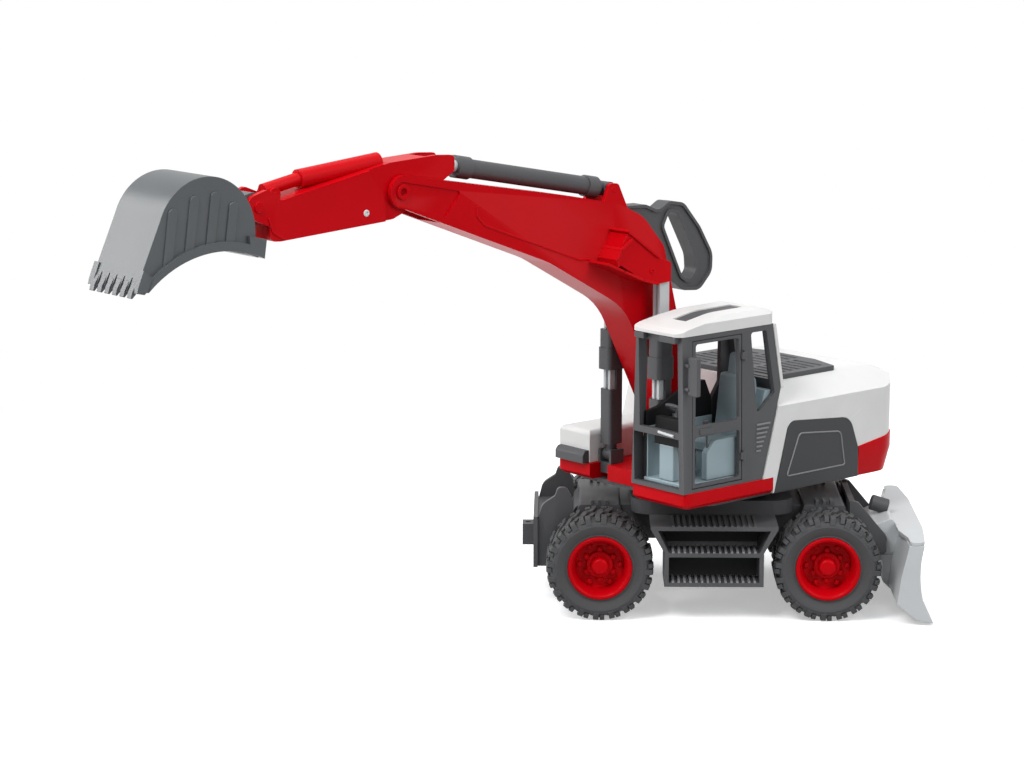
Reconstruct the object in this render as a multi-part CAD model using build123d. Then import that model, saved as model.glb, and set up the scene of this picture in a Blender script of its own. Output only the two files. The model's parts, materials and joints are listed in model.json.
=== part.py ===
from build123d import *
import os
from math import atan2, cos, degrees, hypot, radians, sin

# Toy wheeled excavator, about 1:16. Millimetres, +X ahead, +Y to the left, +Z up.
# The origin is on the floor under the slew axis. The upper half is drawn straight ahead
# and turned by the slew angle when it is written out.

# Slew angle of the upper half at rest
SLEW = 42.0

# Wheels
WHEEL_R = 37.0
TYRE_W = 38.0
TREAD_R = 34.4
BEAD_R = 20.0
TRACK = 123.0
WHEELBASE = 156.0
LUGS = 20
LUG_WIDE = 6.4
RIM_FLANGE_R = 22.2
DISH_DEPTH = 12.5
HUB_CAP_R = 6.4
HUB_R = 7.0
RIM_BOLTS = 8
RIM_BOLT_RING = 12.0
SHAFT_R = 3.0
RUN_FIT = 0.06
SEAT_GAP = 0.3

# Chassis
SPINE_HALF = 27.0
SPINE_LOW = 46.0
SPINE_TOP = 70.0
SPINE_END = 96.0
DECK_HALF = 44.0
DECK_LENGTH_HALF = 56.0
DECK_TOP = 77.0
SLEW_RING_R = 40.0
SLEW_RING_TOP = 80.7
SPIGOT_R = 12.0
SPIGOT_TALL = 4.5
AXLE_TUBE_R = 8.5
DIFF_R = 15.0

# Side steps
STEP_OUT = 80.0
STEP_BACK = DECK_HALF
STEP_TOP = 67.0
STEP_MID = 48.5
STEP_LOW = 24.7
STEP_TOP_HALF = 43.5
STEP_LOW_HALF = 34.0
STEP_WALL = 3.0
STEP_TREAD_DEEP = 20.0
STEP_RIB_PITCH = 4.0

# Front and rear carriers
CARRIER_IN = 32.0
CARRIER_PLATE = 4.5
FRONT_PLATE_X = 121.0
FRONT_PLATE_T = 3.0
FRONT_PLATE_HALF = 40.0
FRONT_PLATE_LOW = 28.0
FRONT_PLATE_TOP = 64.0
HITCH_OUT = 8.0
HITCH_HALF = 7.0
HITCH_LOW = 36.0
HITCH_TOP = 51.0
HITCH_BORE_R = 2.0

# Dozer blade
BLADE_PIVOT = (-108.0, 46.0)
BLADE_HALF = 88.0
BLADE_LOW = 1.5
BLADE_TOP = 56.0
BLADE_PIN_R = 3.0
BLADE_BRACKET_HALF = 29.0

# Upper half: deck, sill and tail
TURN_LOW = SLEW_RING_TOP + SEAT_GAP
FRAME_LOW = 87.0
FRAME_TOP = 98.0
UPPER_HALF = 74.0
TAIL_X = -118.0
TAIL_CORNER_R = 21.0
WEIGHT_FRONT_X = -73.0
WEIGHT_LOW = 85.5
WEIGHT_TOP_FRONT = 108.0
WEIGHT_TOP_REAR = 114.5
HOOD_SHOULDER = 147.0
HOOD_TOP = 159.0
HOOD_BEVEL = 22.0
BAY_REAR_X = -4.0
PANEL_DEEP = 4.0
PANEL_PROUD = 0.6
GRILLE_TALL = 3.5
TANK_FRONT_X = 76.0
TANK_TOP = 121.0
TANK_IN = -42.5
NOSE_X = 78.0

# Cab
CAB_LEFT = 73.0
CAB_RIGHT_LOW = 22.0
CAB_RIGHT_TOP = 29.0
CAB_FRONT_LOW = 96.5
CAB_FRONT_TOP = 99.5
CAB_REAR_TOP = 14.0
CAB_REAR_MID = (5.2, 159.5)
CAB_REAR_LOW = 22.0
CAB_WALL = 3.2
ROOF_LOW = 205.0
ROOF_TOP = 214.0
POST = 8.0
B_POST_X = 41.0
RAIL_LOW = 135.0
RAIL_TOP = 142.5
DOOR_GAP = 0.5
DOOR_THICK = 3.2
DOOR_HINGE_R = 1.2
DOOR_AXIS = (B_POST_X + 0.6, CAB_LEFT + 1.4)

# Arm pivots in the upper half's own side view, ahead and up. The arm's middle plane is ARM_Y.
ARM_Y = -10.0
BOOM_FOOT = (21.0, 110.0)
STICK_PIVOT = (279.0, 310.0)
BUCKET_PIVOT = (391.4, 310.0)
BOOM_CYL_FOOT = (63.0, 104.0)
BOOM_CYL_PIN = (63.0, 238.0)
BOOM_CYL_SIDE = 24.5
STICK_CYL_BASE = (95.0, 296.0)
STICK_CYL_EYE = (236.0, 323.0)
BOOM_HEAD_R = 10.5
BOOM_FOOT_R = 10.5

# Arm widths
BOOM_HALF = 14.0
CHEEK_IN = 10.8
STICK_HALF = 13.0
STICK_ROOT_HALF = 10.4
STICK_ROOT = [(221, 278), (292.9, 278), (292.9, 299.8), (294.9, 311.8), (304.4, 322.7), (308, 343), (221, 343)]
LUG_SLOT_HALF = 7.9
FORK_IN = 9.5
ARM_PIN_R = 3.5
BUCKET_HALF = 24.0
BUCKET_WALL = 2.5
BUCKET_R = 35.5
BUCKET_CENTRE = (437.5, 298.0)
TEETH = 6


def side_plane(y):
    """Side view plane: first coordinate ahead, second up, material grows to smaller Y."""
    return Plane(origin=(0, y, 0), x_dir=(1, 0, 0), z_dir=(0, -1, 0))


def slab(points, y_low, y_high, radius=0.0):
    """A side view outline, its corners rounded, spread from y_low to y_high."""
    face = make_face(FilletPolyline(*points, radius=radius, close=True))
    return side_plane(y_high) * extrude(face, y_high - y_low)


def plan_slab(points, z_low, z_high, radius=0.0):
    """A plan view outline, its corners rounded, raised from z_low to z_high."""
    face = make_face(FilletPolyline(*points, radius=radius, close=True))
    return Pos(0, 0, z_low) * extrude(face, z_high - z_low)


def block(x_span, y_span, z_span):
    """A box between two limits on each axis."""
    size = [high - low for low, high in (x_span, y_span, z_span)]
    centre = [(high + low) / 2 for low, high in (x_span, y_span, z_span)]
    return Pos(*centre) * Box(*size)


def cross_pin(centre, radius, y_low, y_high):
    """A round bar across the machine at a side view point."""
    bar = Cylinder(radius, y_high - y_low, align=(Align.CENTER, Align.CENTER, Align.MIN))
    return side_plane(y_high) * (Pos(centre[0], centre[1], 0) * bar)


def upright(x, y, radius, z_low, z_high):
    """A round bar that stands on end."""
    bar = Cylinder(radius, z_high - z_low, align=(Align.CENTER, Align.CENTER, Align.MIN))
    return Pos(x, y, z_low) * bar


def along(start, end, radius, y=0.0):
    """A round bar between two side view points."""
    run = (end[0] - start[0], 0, end[1] - start[1])
    bar = Cylinder(radius, hypot(run[0], run[2]), align=(Align.CENTER, Align.CENTER, Align.MIN))
    return Plane(origin=(start[0], y, start[1]), z_dir=run) * bar


def between(start, end, distance):
    """The side view point at a distance from start on the way to end."""
    length = hypot(end[0] - start[0], end[1] - start[1])
    share = distance / length
    return (start[0] + (end[0] - start[0]) * share, start[1] + (end[1] - start[1]) * share)


def both_sides(shape):
    """A shape and its mirror image across the machine's middle."""
    return shape + mirror(shape, about=Plane.XZ)


# Wheels

def tyre():
    half = TYRE_W / 2
    bulge_r = (BEAD_R + TREAD_R) / 2
    side = [(BEAD_R, half - 4), (BEAD_R + 2.5, half - 3.2), (bulge_r, half - 0.6),
            (TREAD_R - 2.4, half - 2), (TREAD_R, half - 6)]
    profile = side + [(r, -y) for r, y in reversed(side)]
    carcass = revolve(make_face(Polyline(*profile, close=True)), Axis.Y)
    block_side = [(2.0, TREAD_R - 1.5), (2.0, WHEEL_R), (half - 4.5, WHEEL_R),
                  (half - 0.5, TREAD_R), (half - 0.5, bulge_r + 2.5), (half - 3, bulge_r + 2.5),
                  (half - 6, TREAD_R - 1.5)]
    lug = extrude(Plane.YZ * make_face(Polyline(*block_side, close=True)), LUG_WIDE / 2, both=True)
    pitch = 360 / LUGS
    lugs = [Rot(0, k * pitch, 0) * lug for k in range(LUGS)]
    other_row = mirror(lug, about=Plane.XZ)
    lugs += [Rot(0, (k + 0.5) * pitch, 0) * other_row for k in range(LUGS)]
    return carcass + lugs


def rim():
    half = TYRE_W / 2
    flange_in = half - 3.0
    face_y = half - 1.2
    dish_y = face_y - DISH_DEPTH
    barrel_r = BEAD_R - RUN_FIT
    bore = SHAFT_R + RUN_FIT
    profile = [(bore, 1 - half + 4), (HUB_R, 1 - half + 4), (HUB_R, dish_y - 4), (17.4, dish_y - 4),
               (17.4, 4 - half), (barrel_r, 4 - half), (barrel_r, flange_in),
               (RIM_FLANGE_R, flange_in), (RIM_FLANGE_R, face_y), (19.6, face_y), (17.2, dish_y),
               (HUB_CAP_R, dish_y), (HUB_CAP_R - 0.6, dish_y + 8), (HUB_CAP_R - 2, dish_y + 9),
               (0, dish_y + 9), (0, dish_y - 1), (bore, dish_y - 1)]
    wheel = revolve(make_face(Polyline(*profile, close=True)), Axis.Y)
    boss = Pos(RIM_BOLT_RING, dish_y + 1, 0) * Rot(90, 0, 0) * Cylinder(1.7, 3)
    return wheel + [Rot(0, 360 * k / RIM_BOLTS, 0) * boss for k in range(RIM_BOLTS)]


def wheel_place(ahead, left):
    turn = 0 if left > 0 else 180
    return Pos(ahead * WHEELBASE / 2, left * TRACK / 2, WHEEL_R) * Rot(0, 0, turn)


# Undercarriage

def chassis_frame():
    axle_x = WHEELBASE / 2
    tyre_in = (TRACK - TYRE_W) / 2
    hub_in = TRACK / 2 + 1 - TYRE_W / 2 + 4
    spine = slab([(-SPINE_END, SPINE_LOW), (-SPINE_END, SPINE_TOP), (SPINE_END, SPINE_TOP),
                  (SPINE_END, SPINE_LOW)], -SPINE_HALF, SPINE_HALF, 6)
    deck = plan_slab([(-DECK_LENGTH_HALF, -DECK_HALF), (-DECK_LENGTH_HALF, DECK_HALF),
                      (DECK_LENGTH_HALF, DECK_HALF), (DECK_LENGTH_HALF, -DECK_HALF)],
                     STEP_TOP, DECK_TOP, 14)
    frame = spine + deck + upright(0, 0, SLEW_RING_R, DECK_TOP, SLEW_RING_TOP)
    frame += upright(0, 0, SPIGOT_R, SLEW_RING_TOP, SLEW_RING_TOP + SPIGOT_TALL)
    for x in (-axle_x, axle_x):
        frame += cross_pin((x, WHEEL_R), AXLE_TUBE_R, -hub_in + SEAT_GAP, hub_in - SEAT_GAP)
        frame += cross_pin((x, WHEEL_R), SHAFT_R, -TRACK / 2, TRACK / 2)
        frame += cross_pin((x, WHEEL_R), DIFF_R, -SPINE_HALF + 6, SPINE_HALF - 6)
        saddle_half = tyre_in - 2
        frame += slab([(x - 17, 60), (x - 14, SPINE_TOP + 3), (x + 14, SPINE_TOP + 3), (x + 17, 60)],
                      -saddle_half, saddle_half, 2)
        for k in (-1, 0, 1):
            rib = block((x + 5 * k - 1, x + 5 * k + 1), (saddle_half - 12, saddle_half),
                        (SPINE_TOP + 2, SPINE_TOP + 6))
            frame += both_sides(rib)
    for x in (-24, 24):
        frame += block((x - 5, x + 5), (-STEP_BACK, STEP_BACK), (SPINE_LOW + 6, STEP_TOP))
    return frame


def steps(left):
    """Double step box of one side, left is 1 or -1."""
    outer = [(-STEP_TOP_HALF, STEP_TOP), (STEP_TOP_HALF, STEP_TOP), (STEP_TOP_HALF, STEP_TOP - 2),
             (STEP_LOW_HALF, STEP_MID), (STEP_LOW_HALF, STEP_LOW), (-STEP_LOW_HALF, STEP_LOW),
             (-STEP_LOW_HALF, STEP_MID), (-STEP_TOP_HALF, STEP_TOP - 2)]
    wall = STEP_WALL
    upper_gap = [(-STEP_TOP_HALF + 5, STEP_TOP - wall), (STEP_TOP_HALF - 5, STEP_TOP - wall),
                 (STEP_LOW_HALF - wall, STEP_MID), (-STEP_LOW_HALF + wall, STEP_MID)]
    lower_gap = [(-STEP_LOW_HALF + wall, STEP_MID - wall), (STEP_LOW_HALF - wall, STEP_MID - wall),
                 (STEP_LOW_HALF - wall, STEP_LOW + wall), (-STEP_LOW_HALF + wall, STEP_LOW + wall)]
    box = slab(outer, STEP_BACK, STEP_OUT)
    back_wall = STEP_BACK + wall
    box -= slab(upper_gap, back_wall, STEP_OUT + 1)
    box -= slab(lower_gap, back_wall, STEP_OUT + 1)
    floor_cut = STEP_OUT - STEP_TREAD_DEEP
    for z in (STEP_MID - wall, STEP_LOW):
        box -= block((-STEP_LOW_HALF + wall, STEP_LOW_HALF - wall), (back_wall, floor_cut),
                     (z - 1, z + wall + 1))
    ribs = []
    count = int(2 * (STEP_LOW_HALF - wall) / STEP_RIB_PITCH)
    for level, start in ((STEP_TOP, STEP_BACK + 3), (STEP_MID, floor_cut), (STEP_LOW + wall, floor_cut)):
        for k in range(count):
            x = (k - (count - 1) / 2) * STEP_RIB_PITCH
            ribs.append(block((x - 0.8, x + 0.8), (start, STEP_OUT), (level - 0.5, level + 0.8)))
    box += ribs
    return box if left > 0 else mirror(box, about=Plane.XZ)


def front_carrier():
    side = [(SPINE_END, 52), (SPINE_END, 74), (101, 84), (107, 84), (109, 78), (118, 72),
            (FRONT_PLATE_X, 60), (FRONT_PLATE_X, FRONT_PLATE_LOW), (110, FRONT_PLATE_LOW), (110, 46)]
    radius = [0, 3, 3, 3, 2, 9, 0, 0, 2, 6]
    plate = slab(side, CARRIER_IN, CARRIER_IN + CARRIER_PLATE, radius)
    carrier = both_sides(plate)
    carrier += block((FRONT_PLATE_X, FRONT_PLATE_X + FRONT_PLATE_T),
                     (-FRONT_PLATE_HALF, FRONT_PLATE_HALF), (FRONT_PLATE_LOW, FRONT_PLATE_TOP))
    carrier += block((SPINE_END, FRONT_PLATE_X), (-CARRIER_IN, CARRIER_IN), (54, 62))
    carrier += block((110, FRONT_PLATE_X), (-CARRIER_IN, CARRIER_IN), (FRONT_PLATE_LOW, 34))
    hitch_x = FRONT_PLATE_X + FRONT_PLATE_T
    carrier += block((hitch_x, hitch_x + HITCH_OUT), (-HITCH_HALF, HITCH_HALF), (HITCH_LOW, HITCH_TOP))
    carrier -= upright(hitch_x + HITCH_OUT / 2, 0, HITCH_BORE_R, HITCH_LOW - 1, HITCH_TOP + 1)
    return carrier


def rear_carrier():
    side = [(-SPINE_END, 46), (-SPINE_END, 76), (-102, 74), (-122, 50), (-122, 38), (-104, 34)]
    plate = slab(side, CARRIER_IN, CARRIER_IN + CARRIER_PLATE, [0, 2, 3, 3, 3, 3])
    carrier = both_sides(plate)
    carrier += block((-SPINE_END - 4, -SPINE_END), (-CARRIER_IN, CARRIER_IN), (SPINE_LOW, 74))
    carrier += cross_pin(BLADE_PIVOT, BLADE_PIN_R, -CARRIER_IN, CARRIER_IN)
    return carrier


def blade():
    face = Spline((-143, BLADE_TOP - 1), (-140.4, 37), (-141, 22), (-149, BLADE_LOW))
    back = Polyline((-149, BLADE_LOW), (-136, BLADE_LOW + 2.5), (-127, 11), (-126, 24), (-131, 50),
                    (-131.5, BLADE_TOP + 1), (-142.5, BLADE_TOP + 1), (-143, BLADE_TOP - 1))
    outline = make_face(face + back)
    board = side_plane(BLADE_HALF) * extrude(outline, 2 * BLADE_HALF)
    return board


def blade_bracket():
    x, z = BLADE_PIVOT
    web = [(-131, 52), (-124, 60), (-116, 58), (x + 6, z + 5), (x + 6, z - 5), (-117, 27), (-126, 22)]
    body = slab(web, -BLADE_BRACKET_HALF, BLADE_BRACKET_HALF, [0, 3, 3, 4, 4, 3, 0])
    body -= cross_pin(BLADE_PIVOT, BLADE_PIN_R + RUN_FIT, -CARRIER_IN, CARRIER_IN)
    return body - blade()


# Upper half

def tail_plan(z_low, z_high):
    outline = [(40, -UPPER_HALF), (40, UPPER_HALF), (TAIL_X, UPPER_HALF), (TAIL_X, -UPPER_HALF)]
    return plan_slab(outline, z_low, z_high, [0, 0, TAIL_CORNER_R, TAIL_CORNER_R])


def turntable():
    disc = upright(0, 0, SLEW_RING_R + 4, TURN_LOW, FRAME_LOW - 3)
    plate = plan_slab([(-72, -66), (-72, 66), (70, 66), (70, -66)], FRAME_LOW - 3, FRAME_LOW, 12)
    pocket = upright(0, 0, SPIGOT_R + SEAT_GAP, TURN_LOW - 1, TURN_LOW + SPIGOT_TALL + SEAT_GAP)
    return disc + plate - pocket


def upper_frame():
    outline = [(95, UPPER_HALF), (95, CAB_RIGHT_LOW), (NOSE_X, CAB_RIGHT_LOW), (NOSE_X, -UPPER_HALF),
               (12, -UPPER_HALF), (12, UPPER_HALF)]
    return plan_slab(outline, FRAME_LOW, FRAME_TOP, [4, 0, 0, 4, 0, 0])


def weight_region():
    return slab([(WEIGHT_FRONT_X, WEIGHT_LOW), (WEIGHT_FRONT_X, WEIGHT_TOP_FRONT),
                 (TAIL_X - 1, WEIGHT_TOP_REAR), (TAIL_X - 1, WEIGHT_LOW)], -90, 90)


def counterweight():
    return tail_plan(WEIGHT_LOW, 130) & weight_region()


def panel_outline(grow):
    return [(10.3 + grow, 88.5), (-2.4 + grow, 135.5 + grow), (-64 - grow, 130 + grow),
            (-71.5 - grow, 107), (-71.5 - grow, 88.5)]


def hood():
    low_part = tail_plan(FRAME_LOW, HOOD_SHOULDER)
    taper = degrees(atan2(HOOD_BEVEL, HOOD_TOP - HOOD_SHOULDER))
    top_face = low_part.faces().sort_by(Axis.Z)[-1]
    body = low_part + extrude(top_face, HOOD_TOP - HOOD_SHOULDER, taper=taper)
    side = [(CAB_REAR_MID[0] - SEAT_GAP, HOOD_TOP + 1), (CAB_REAR_MID[0] - SEAT_GAP, CAB_REAR_MID[1]),
            (CAB_REAR_LOW - SEAT_GAP, FRAME_TOP), (12, FRAME_TOP), (12, FRAME_LOW - 1),
            (TAIL_X - 1, FRAME_LOW - 1), (TAIL_X - 1, HOOD_TOP + 1)]
    body = body & slab(side, -90, 90)
    body -= block((BAY_REAR_X, 50), (TANK_IN, CAB_RIGHT_LOW), (FRAME_TOP, HOOD_TOP + 1))
    body -= weight_region()
    recess = slab(panel_outline(0.2), UPPER_HALF - PANEL_DEEP, UPPER_HALF + 1, [0, 8, 12, 4, 0])
    return body - recess - mirror(recess, about=Plane.XZ)


def engine_panel(left):
    slab_out = slab(panel_outline(0), UPPER_HALF - PANEL_DEEP, UPPER_HALF + PANEL_PROUD, [0, 8, 12, 4, 0])
    return slab_out if left > 0 else mirror(slab_out, about=Plane.XZ)


def hood_grille():
    outline = [(-80, -25), (-80, 25), (-72, 51), (-6, 51), (-6, -51), (-72, -51)]
    return plan_slab(outline, HOOD_TOP, HOOD_TOP + GRILLE_TALL, 2)


def tank_box():
    rise = (CAB_REAR_MID[0] - CAB_REAR_LOW) / (CAB_REAR_MID[1] - FRAME_TOP)
    rear_top = CAB_REAR_LOW + rise * (TANK_TOP - FRAME_TOP)
    side = [(CAB_REAR_LOW, FRAME_TOP), (rear_top, TANK_TOP), (TANK_FRONT_X, TANK_TOP),
            (TANK_FRONT_X, FRAME_TOP)]
    return slab(side, -UPPER_HALF, TANK_IN, [0, 0, 6, 0])


def front_lamps():
    return block((TANK_FRONT_X, TANK_FRONT_X + 5), (-72, -43), (FRAME_TOP, FRAME_TOP + 8))


def boom_bracket():
    ear = slab([(5, FRAME_TOP), (9, 122), (33, 122), (41, FRAME_TOP)], BOOM_HALF + 0.5, BOOM_HALF + 4.5,
               [0, 8, 8, 0])
    body = both_sides(ear)
    return body + cross_pin(BOOM_FOOT, ARM_PIN_R, -BOOM_HALF - 4.5, BOOM_HALF + 4.5)


def cylinder_foot(left):
    x, z = BOOM_CYL_FOOT
    y = BOOM_CYL_SIDE
    foot = block((x - 6, x + 6), (y - 6.4, y + 6.4), (FRAME_TOP, z + 4))
    foot -= block((x - 7, x + 7), (y - 4.4, y + 4.4), (FRAME_TOP + 0.8, z + 5))
    foot += cross_pin(BOOM_CYL_FOOT, 2, y - 6.4, y + 6.4)
    return foot if left > 0 else mirror(foot, about=Plane.XZ)


# Cab

def cab_side(grow):
    """Side outline of the cab, drawn in by the wall when grow is negative."""
    return [(CAB_FRONT_LOW + grow, FRAME_TOP), (CAB_FRONT_TOP + grow, ROOF_LOW),
            (CAB_REAR_TOP - grow, ROOF_LOW), (CAB_REAR_MID[0] - grow, CAB_REAR_MID[1]),
            (CAB_REAR_LOW - grow, FRAME_TOP)]


def lean_cut(inset):
    """What lies beyond the cab's leaning right wall."""
    run = [(CAB_RIGHT_LOW + inset, FRAME_TOP - 20), (CAB_RIGHT_LOW + inset, FRAME_TOP),
           (CAB_RIGHT_TOP + inset, ROOF_LOW), (CAB_RIGHT_TOP + inset, ROOF_LOW + 20), (-60, ROOF_LOW + 20),
           (-60, FRAME_TOP - 20)]
    face = make_face(Polyline(*run, close=True))
    return extrude(Plane.YZ * face, 200, both=True)


def door_outline(grow):
    return [(B_POST_X + 1 - grow, FRAME_TOP + 3 - grow), (B_POST_X + 3 - grow, ROOF_LOW - 4 + grow),
            (CAB_FRONT_TOP - POST - 2 + grow, ROOF_LOW - 4 + grow),
            (CAB_FRONT_LOW - POST + grow, FRAME_TOP + 3 - grow)]


def cab_frame():
    body = slab(cab_side(0), 0, CAB_LEFT) - lean_cut(0)
    inside = slab(cab_side(-CAB_WALL), 0, CAB_LEFT - CAB_WALL) - lean_cut(CAB_WALL)
    inside -= block((-50, 150), (-50, 100), (ROOF_LOW - 2.5, ROOF_LOW + 1))
    inside -= block((-50, 150), (-50, 100), (FRAME_TOP - 1, FRAME_TOP + 2))
    body -= inside
    body -= slab(door_outline(DOOR_GAP), CAB_LEFT - CAB_WALL - 1, CAB_LEFT + 1)
    quarter = [(B_POST_X - 6, ROOF_LOW - 4), (CAB_REAR_TOP + 6, ROOF_LOW - 4), (11, 157), (28, 144)]
    body -= slab(quarter, CAB_LEFT - CAB_WALL - 1, CAB_LEFT + 1, 2)
    body -= block((CAB_FRONT_LOW - 10, 110), (31, CAB_LEFT - 4.5), (RAIL_TOP - 3, ROOF_LOW - 5))
    body -= block((CAB_FRONT_LOW - 10, 110), (25, CAB_LEFT - 4.5), (FRAME_TOP + 3, RAIL_LOW))
    right_window = [(CAB_FRONT_LOW - 8, FRAME_TOP + 30), (CAB_FRONT_TOP - 8, ROOF_LOW - 6),
                    (CAB_REAR_TOP + 8, ROOF_LOW - 6), (20, FRAME_TOP + 62), (40, FRAME_TOP + 30)]
    body -= slab(right_window, 10, 45, 3)
    body -= block((0, 30), (36, CAB_LEFT - 8), (HOOD_TOP + 6, ROOF_LOW - 6))
    return body


def cab_roof():
    outline = [(102.5, CAB_LEFT + 0.8), (102.5, CAB_RIGHT_TOP - 2), (CAB_REAR_TOP - 2, CAB_RIGHT_TOP - 2),
               (CAB_REAR_TOP - 2, CAB_LEFT + 0.8)]
    body = plan_slab(outline, ROOF_LOW, ROOF_TOP, 6)
    return body


def cab_interior():
    floor_top = FRAME_TOP + 5
    floor = block((26, 91), (28, CAB_LEFT - 5), (FRAME_TOP + 2, floor_top))
    pedestal = block((34, 58), (38, 58), (floor_top, 118))
    cushion = block((31, 62), (36, 61), (118, 126))
    back = slab([(31, 124), (39, 124), (32, 176), (24, 176)], 37, 60, [0, 0, 3, 3])
    head = slab([(25, 176), (31, 176), (29, 190), (24, 190)], 42, 55, [0, 0, 2, 2])
    console = slab([(36, floor_top), (36, 130), (62, 130), (70, 122), (70, floor_top)], 62, 68, [0, 2, 4, 4, 0])
    column = slab([(82, floor_top), (86, 128), (90, 128), (90, floor_top)], 42, 56, [0, 2, 2, 0])
    return floor + pedestal + cushion + back + head + console + column


def door():
    panel = slab(door_outline(0), CAB_LEFT - DOOR_THICK, CAB_LEFT)
    upper = [(B_POST_X + 7, RAIL_TOP), (B_POST_X + 8, ROOF_LOW - 8), (CAB_FRONT_TOP - POST - 6, ROOF_LOW - 8),
             (CAB_FRONT_LOW - POST - 5, RAIL_TOP)]
    lower = [(B_POST_X + 6, FRAME_TOP + 8), (B_POST_X + 7, RAIL_LOW), (CAB_FRONT_LOW - POST - 5, RAIL_LOW),
             (CAB_FRONT_LOW - POST - 5, FRAME_TOP + 8)]
    for window in (upper, lower):
        panel -= slab(window, CAB_LEFT - DOOR_THICK - 1, CAB_LEFT + 1, 2)
    x, y = DOOR_AXIS
    for z in (FRAME_TOP + 16, ROOF_LOW - 22):
        panel += upright(x, y, DOOR_HINGE_R, z, z + 7)
        panel += block((x, x + 9), (CAB_LEFT + SEAT_GAP, y + 0.8), (z + 1, z + 6))
        panel += block((x + 4, x + 9), (CAB_LEFT - 0.5, y), (z + 1, z + 6))
    return panel


# Arm

def boom_outline():
    """Side view corners of the boom and the radius at each."""
    x, z = STICK_PIVOT
    foot_x, foot_z = BOOM_FOOT
    corners = [(foot_x - BOOM_FOOT_R + 0.3, foot_z - 2), (49, 250), (79, 281), (x - 2, z + BOOM_HEAD_R - 0.2),
               (x + 3, z - BOOM_HEAD_R + 1), (156, 253), (87, 215), (foot_x + BOOM_FOOT_R - 0.3, foot_z - 2)]
    return corners, [0, 25, 40, 0, 0, 60, 50, 0]


def boom():
    corners, radii = boom_outline()
    body = slab(corners, -BOOM_HALF, BOOM_HALF, radii)
    body += cross_pin(BOOM_FOOT, BOOM_FOOT_R, -BOOM_HALF, BOOM_HALF)
    body += cross_pin(STICK_PIVOT, BOOM_HEAD_R, -BOOM_HALF, BOOM_HALF)
    body -= slab([(240, 338), (240, 304), (259, 278), (311, 278), (311, 338)], -CHEEK_IN, CHEEK_IN)
    body += cross_pin(STICK_PIVOT, ARM_PIN_R, -BOOM_HALF, BOOM_HALF)
    body -= cross_pin(BOOM_FOOT, ARM_PIN_R + RUN_FIT, -BOOM_HALF - 1, BOOM_HALF + 1)
    ear = slab([(80, 280), (90, 301), (98, 301), (106, 285)], LUG_SLOT_HALF, LUG_SLOT_HALF + 3, [0, 3, 3, 0])
    body += both_sides(ear)
    body += cross_pin(STICK_CYL_BASE, 2, -LUG_SLOT_HALF - 3, LUG_SLOT_HALF + 3)
    y_out = BOOM_CYL_SIDE + 6.5
    cover = slab([(56, 232), (56, 250), (73, 252), (101, 270), (118, 250), (93, 237)], BOOM_HALF, y_out,
                 [0, 3, 2, 2, 2, 6])
    cover -= slab([(54, 228), (54, 245), (71, 245), (71, 228)], BOOM_CYL_SIDE - 5, BOOM_CYL_SIDE + 5)
    return body + both_sides(cover)


def grip_handle():
    outer = [(80, 262), (36, 284), (25, 282), (-9, 236), (-1, 220), (13, 214), (60, 226)]
    inner = [(37, 262), (29, 273), (6, 236), (15, 225)]
    loop = slab(outer, -6, 6, [0, 6, 8, 10, 8, 8, 0]) - slab(inner, -7, 7, [4, 5, 6, 6])
    corners, radii = boom_outline()
    return loop - slab(corners, -7, 7, radii)


def stick():
    outline = [(234, 320), (234, 330), (249, 331), (287, 329), (383, 311), (383, 288), (375, 287.5),
               (285, 293), (267, 300)]
    body = slab(outline, -STICK_HALF, STICK_HALF, [3, 3, 4, 6, 4, 4, 4, 8, 8])
    for side in (-1, 1):
        low, high = sorted((side * STICK_ROOT_HALF, side * (STICK_HALF + 1)))
        body -= cross_pin(STICK_PIVOT, BOOM_HEAD_R + 2, low, high)
        body -= slab(STICK_ROOT, low, high)
    body -= cross_pin(STICK_PIVOT, ARM_PIN_R + RUN_FIT, -STICK_HALF, STICK_HALF)
    body -= slab([(221, 343), (221, 310), (253, 310), (261, 318), (253, 343)], -LUG_SLOT_HALF, LUG_SLOT_HALF)
    body += along((289, 329), (352, 323), 6)
    body += along((352, 323), (379, 318), 4.2)
    fork = slab([(375, 294), (375, 316), (385, 320), (399, 316), (399, 304)], FORK_IN, STICK_HALF,
                [0, 2, 3, 6, 6])
    body -= block((382, 411), (-FORK_IN, FORK_IN), (278, 328))
    body += both_sides(fork)
    return body + cross_pin(BUCKET_PIVOT, ARM_PIN_R, -STICK_HALF, STICK_HALF)


def bucket_outline(inset):
    cx, cz = BUCKET_CENTRE
    r = BUCKET_R - inset
    start = (cx + r * cos(radians(185)), cz + r * sin(radians(185)))
    top = (cx + r * cos(radians(100)), cz + r * sin(radians(100)))
    end = (cx + r * cos(radians(20)), cz + r * sin(radians(20)))
    tip = (486 - 1.5 * inset, 267)
    return start, top, end, tip


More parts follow.
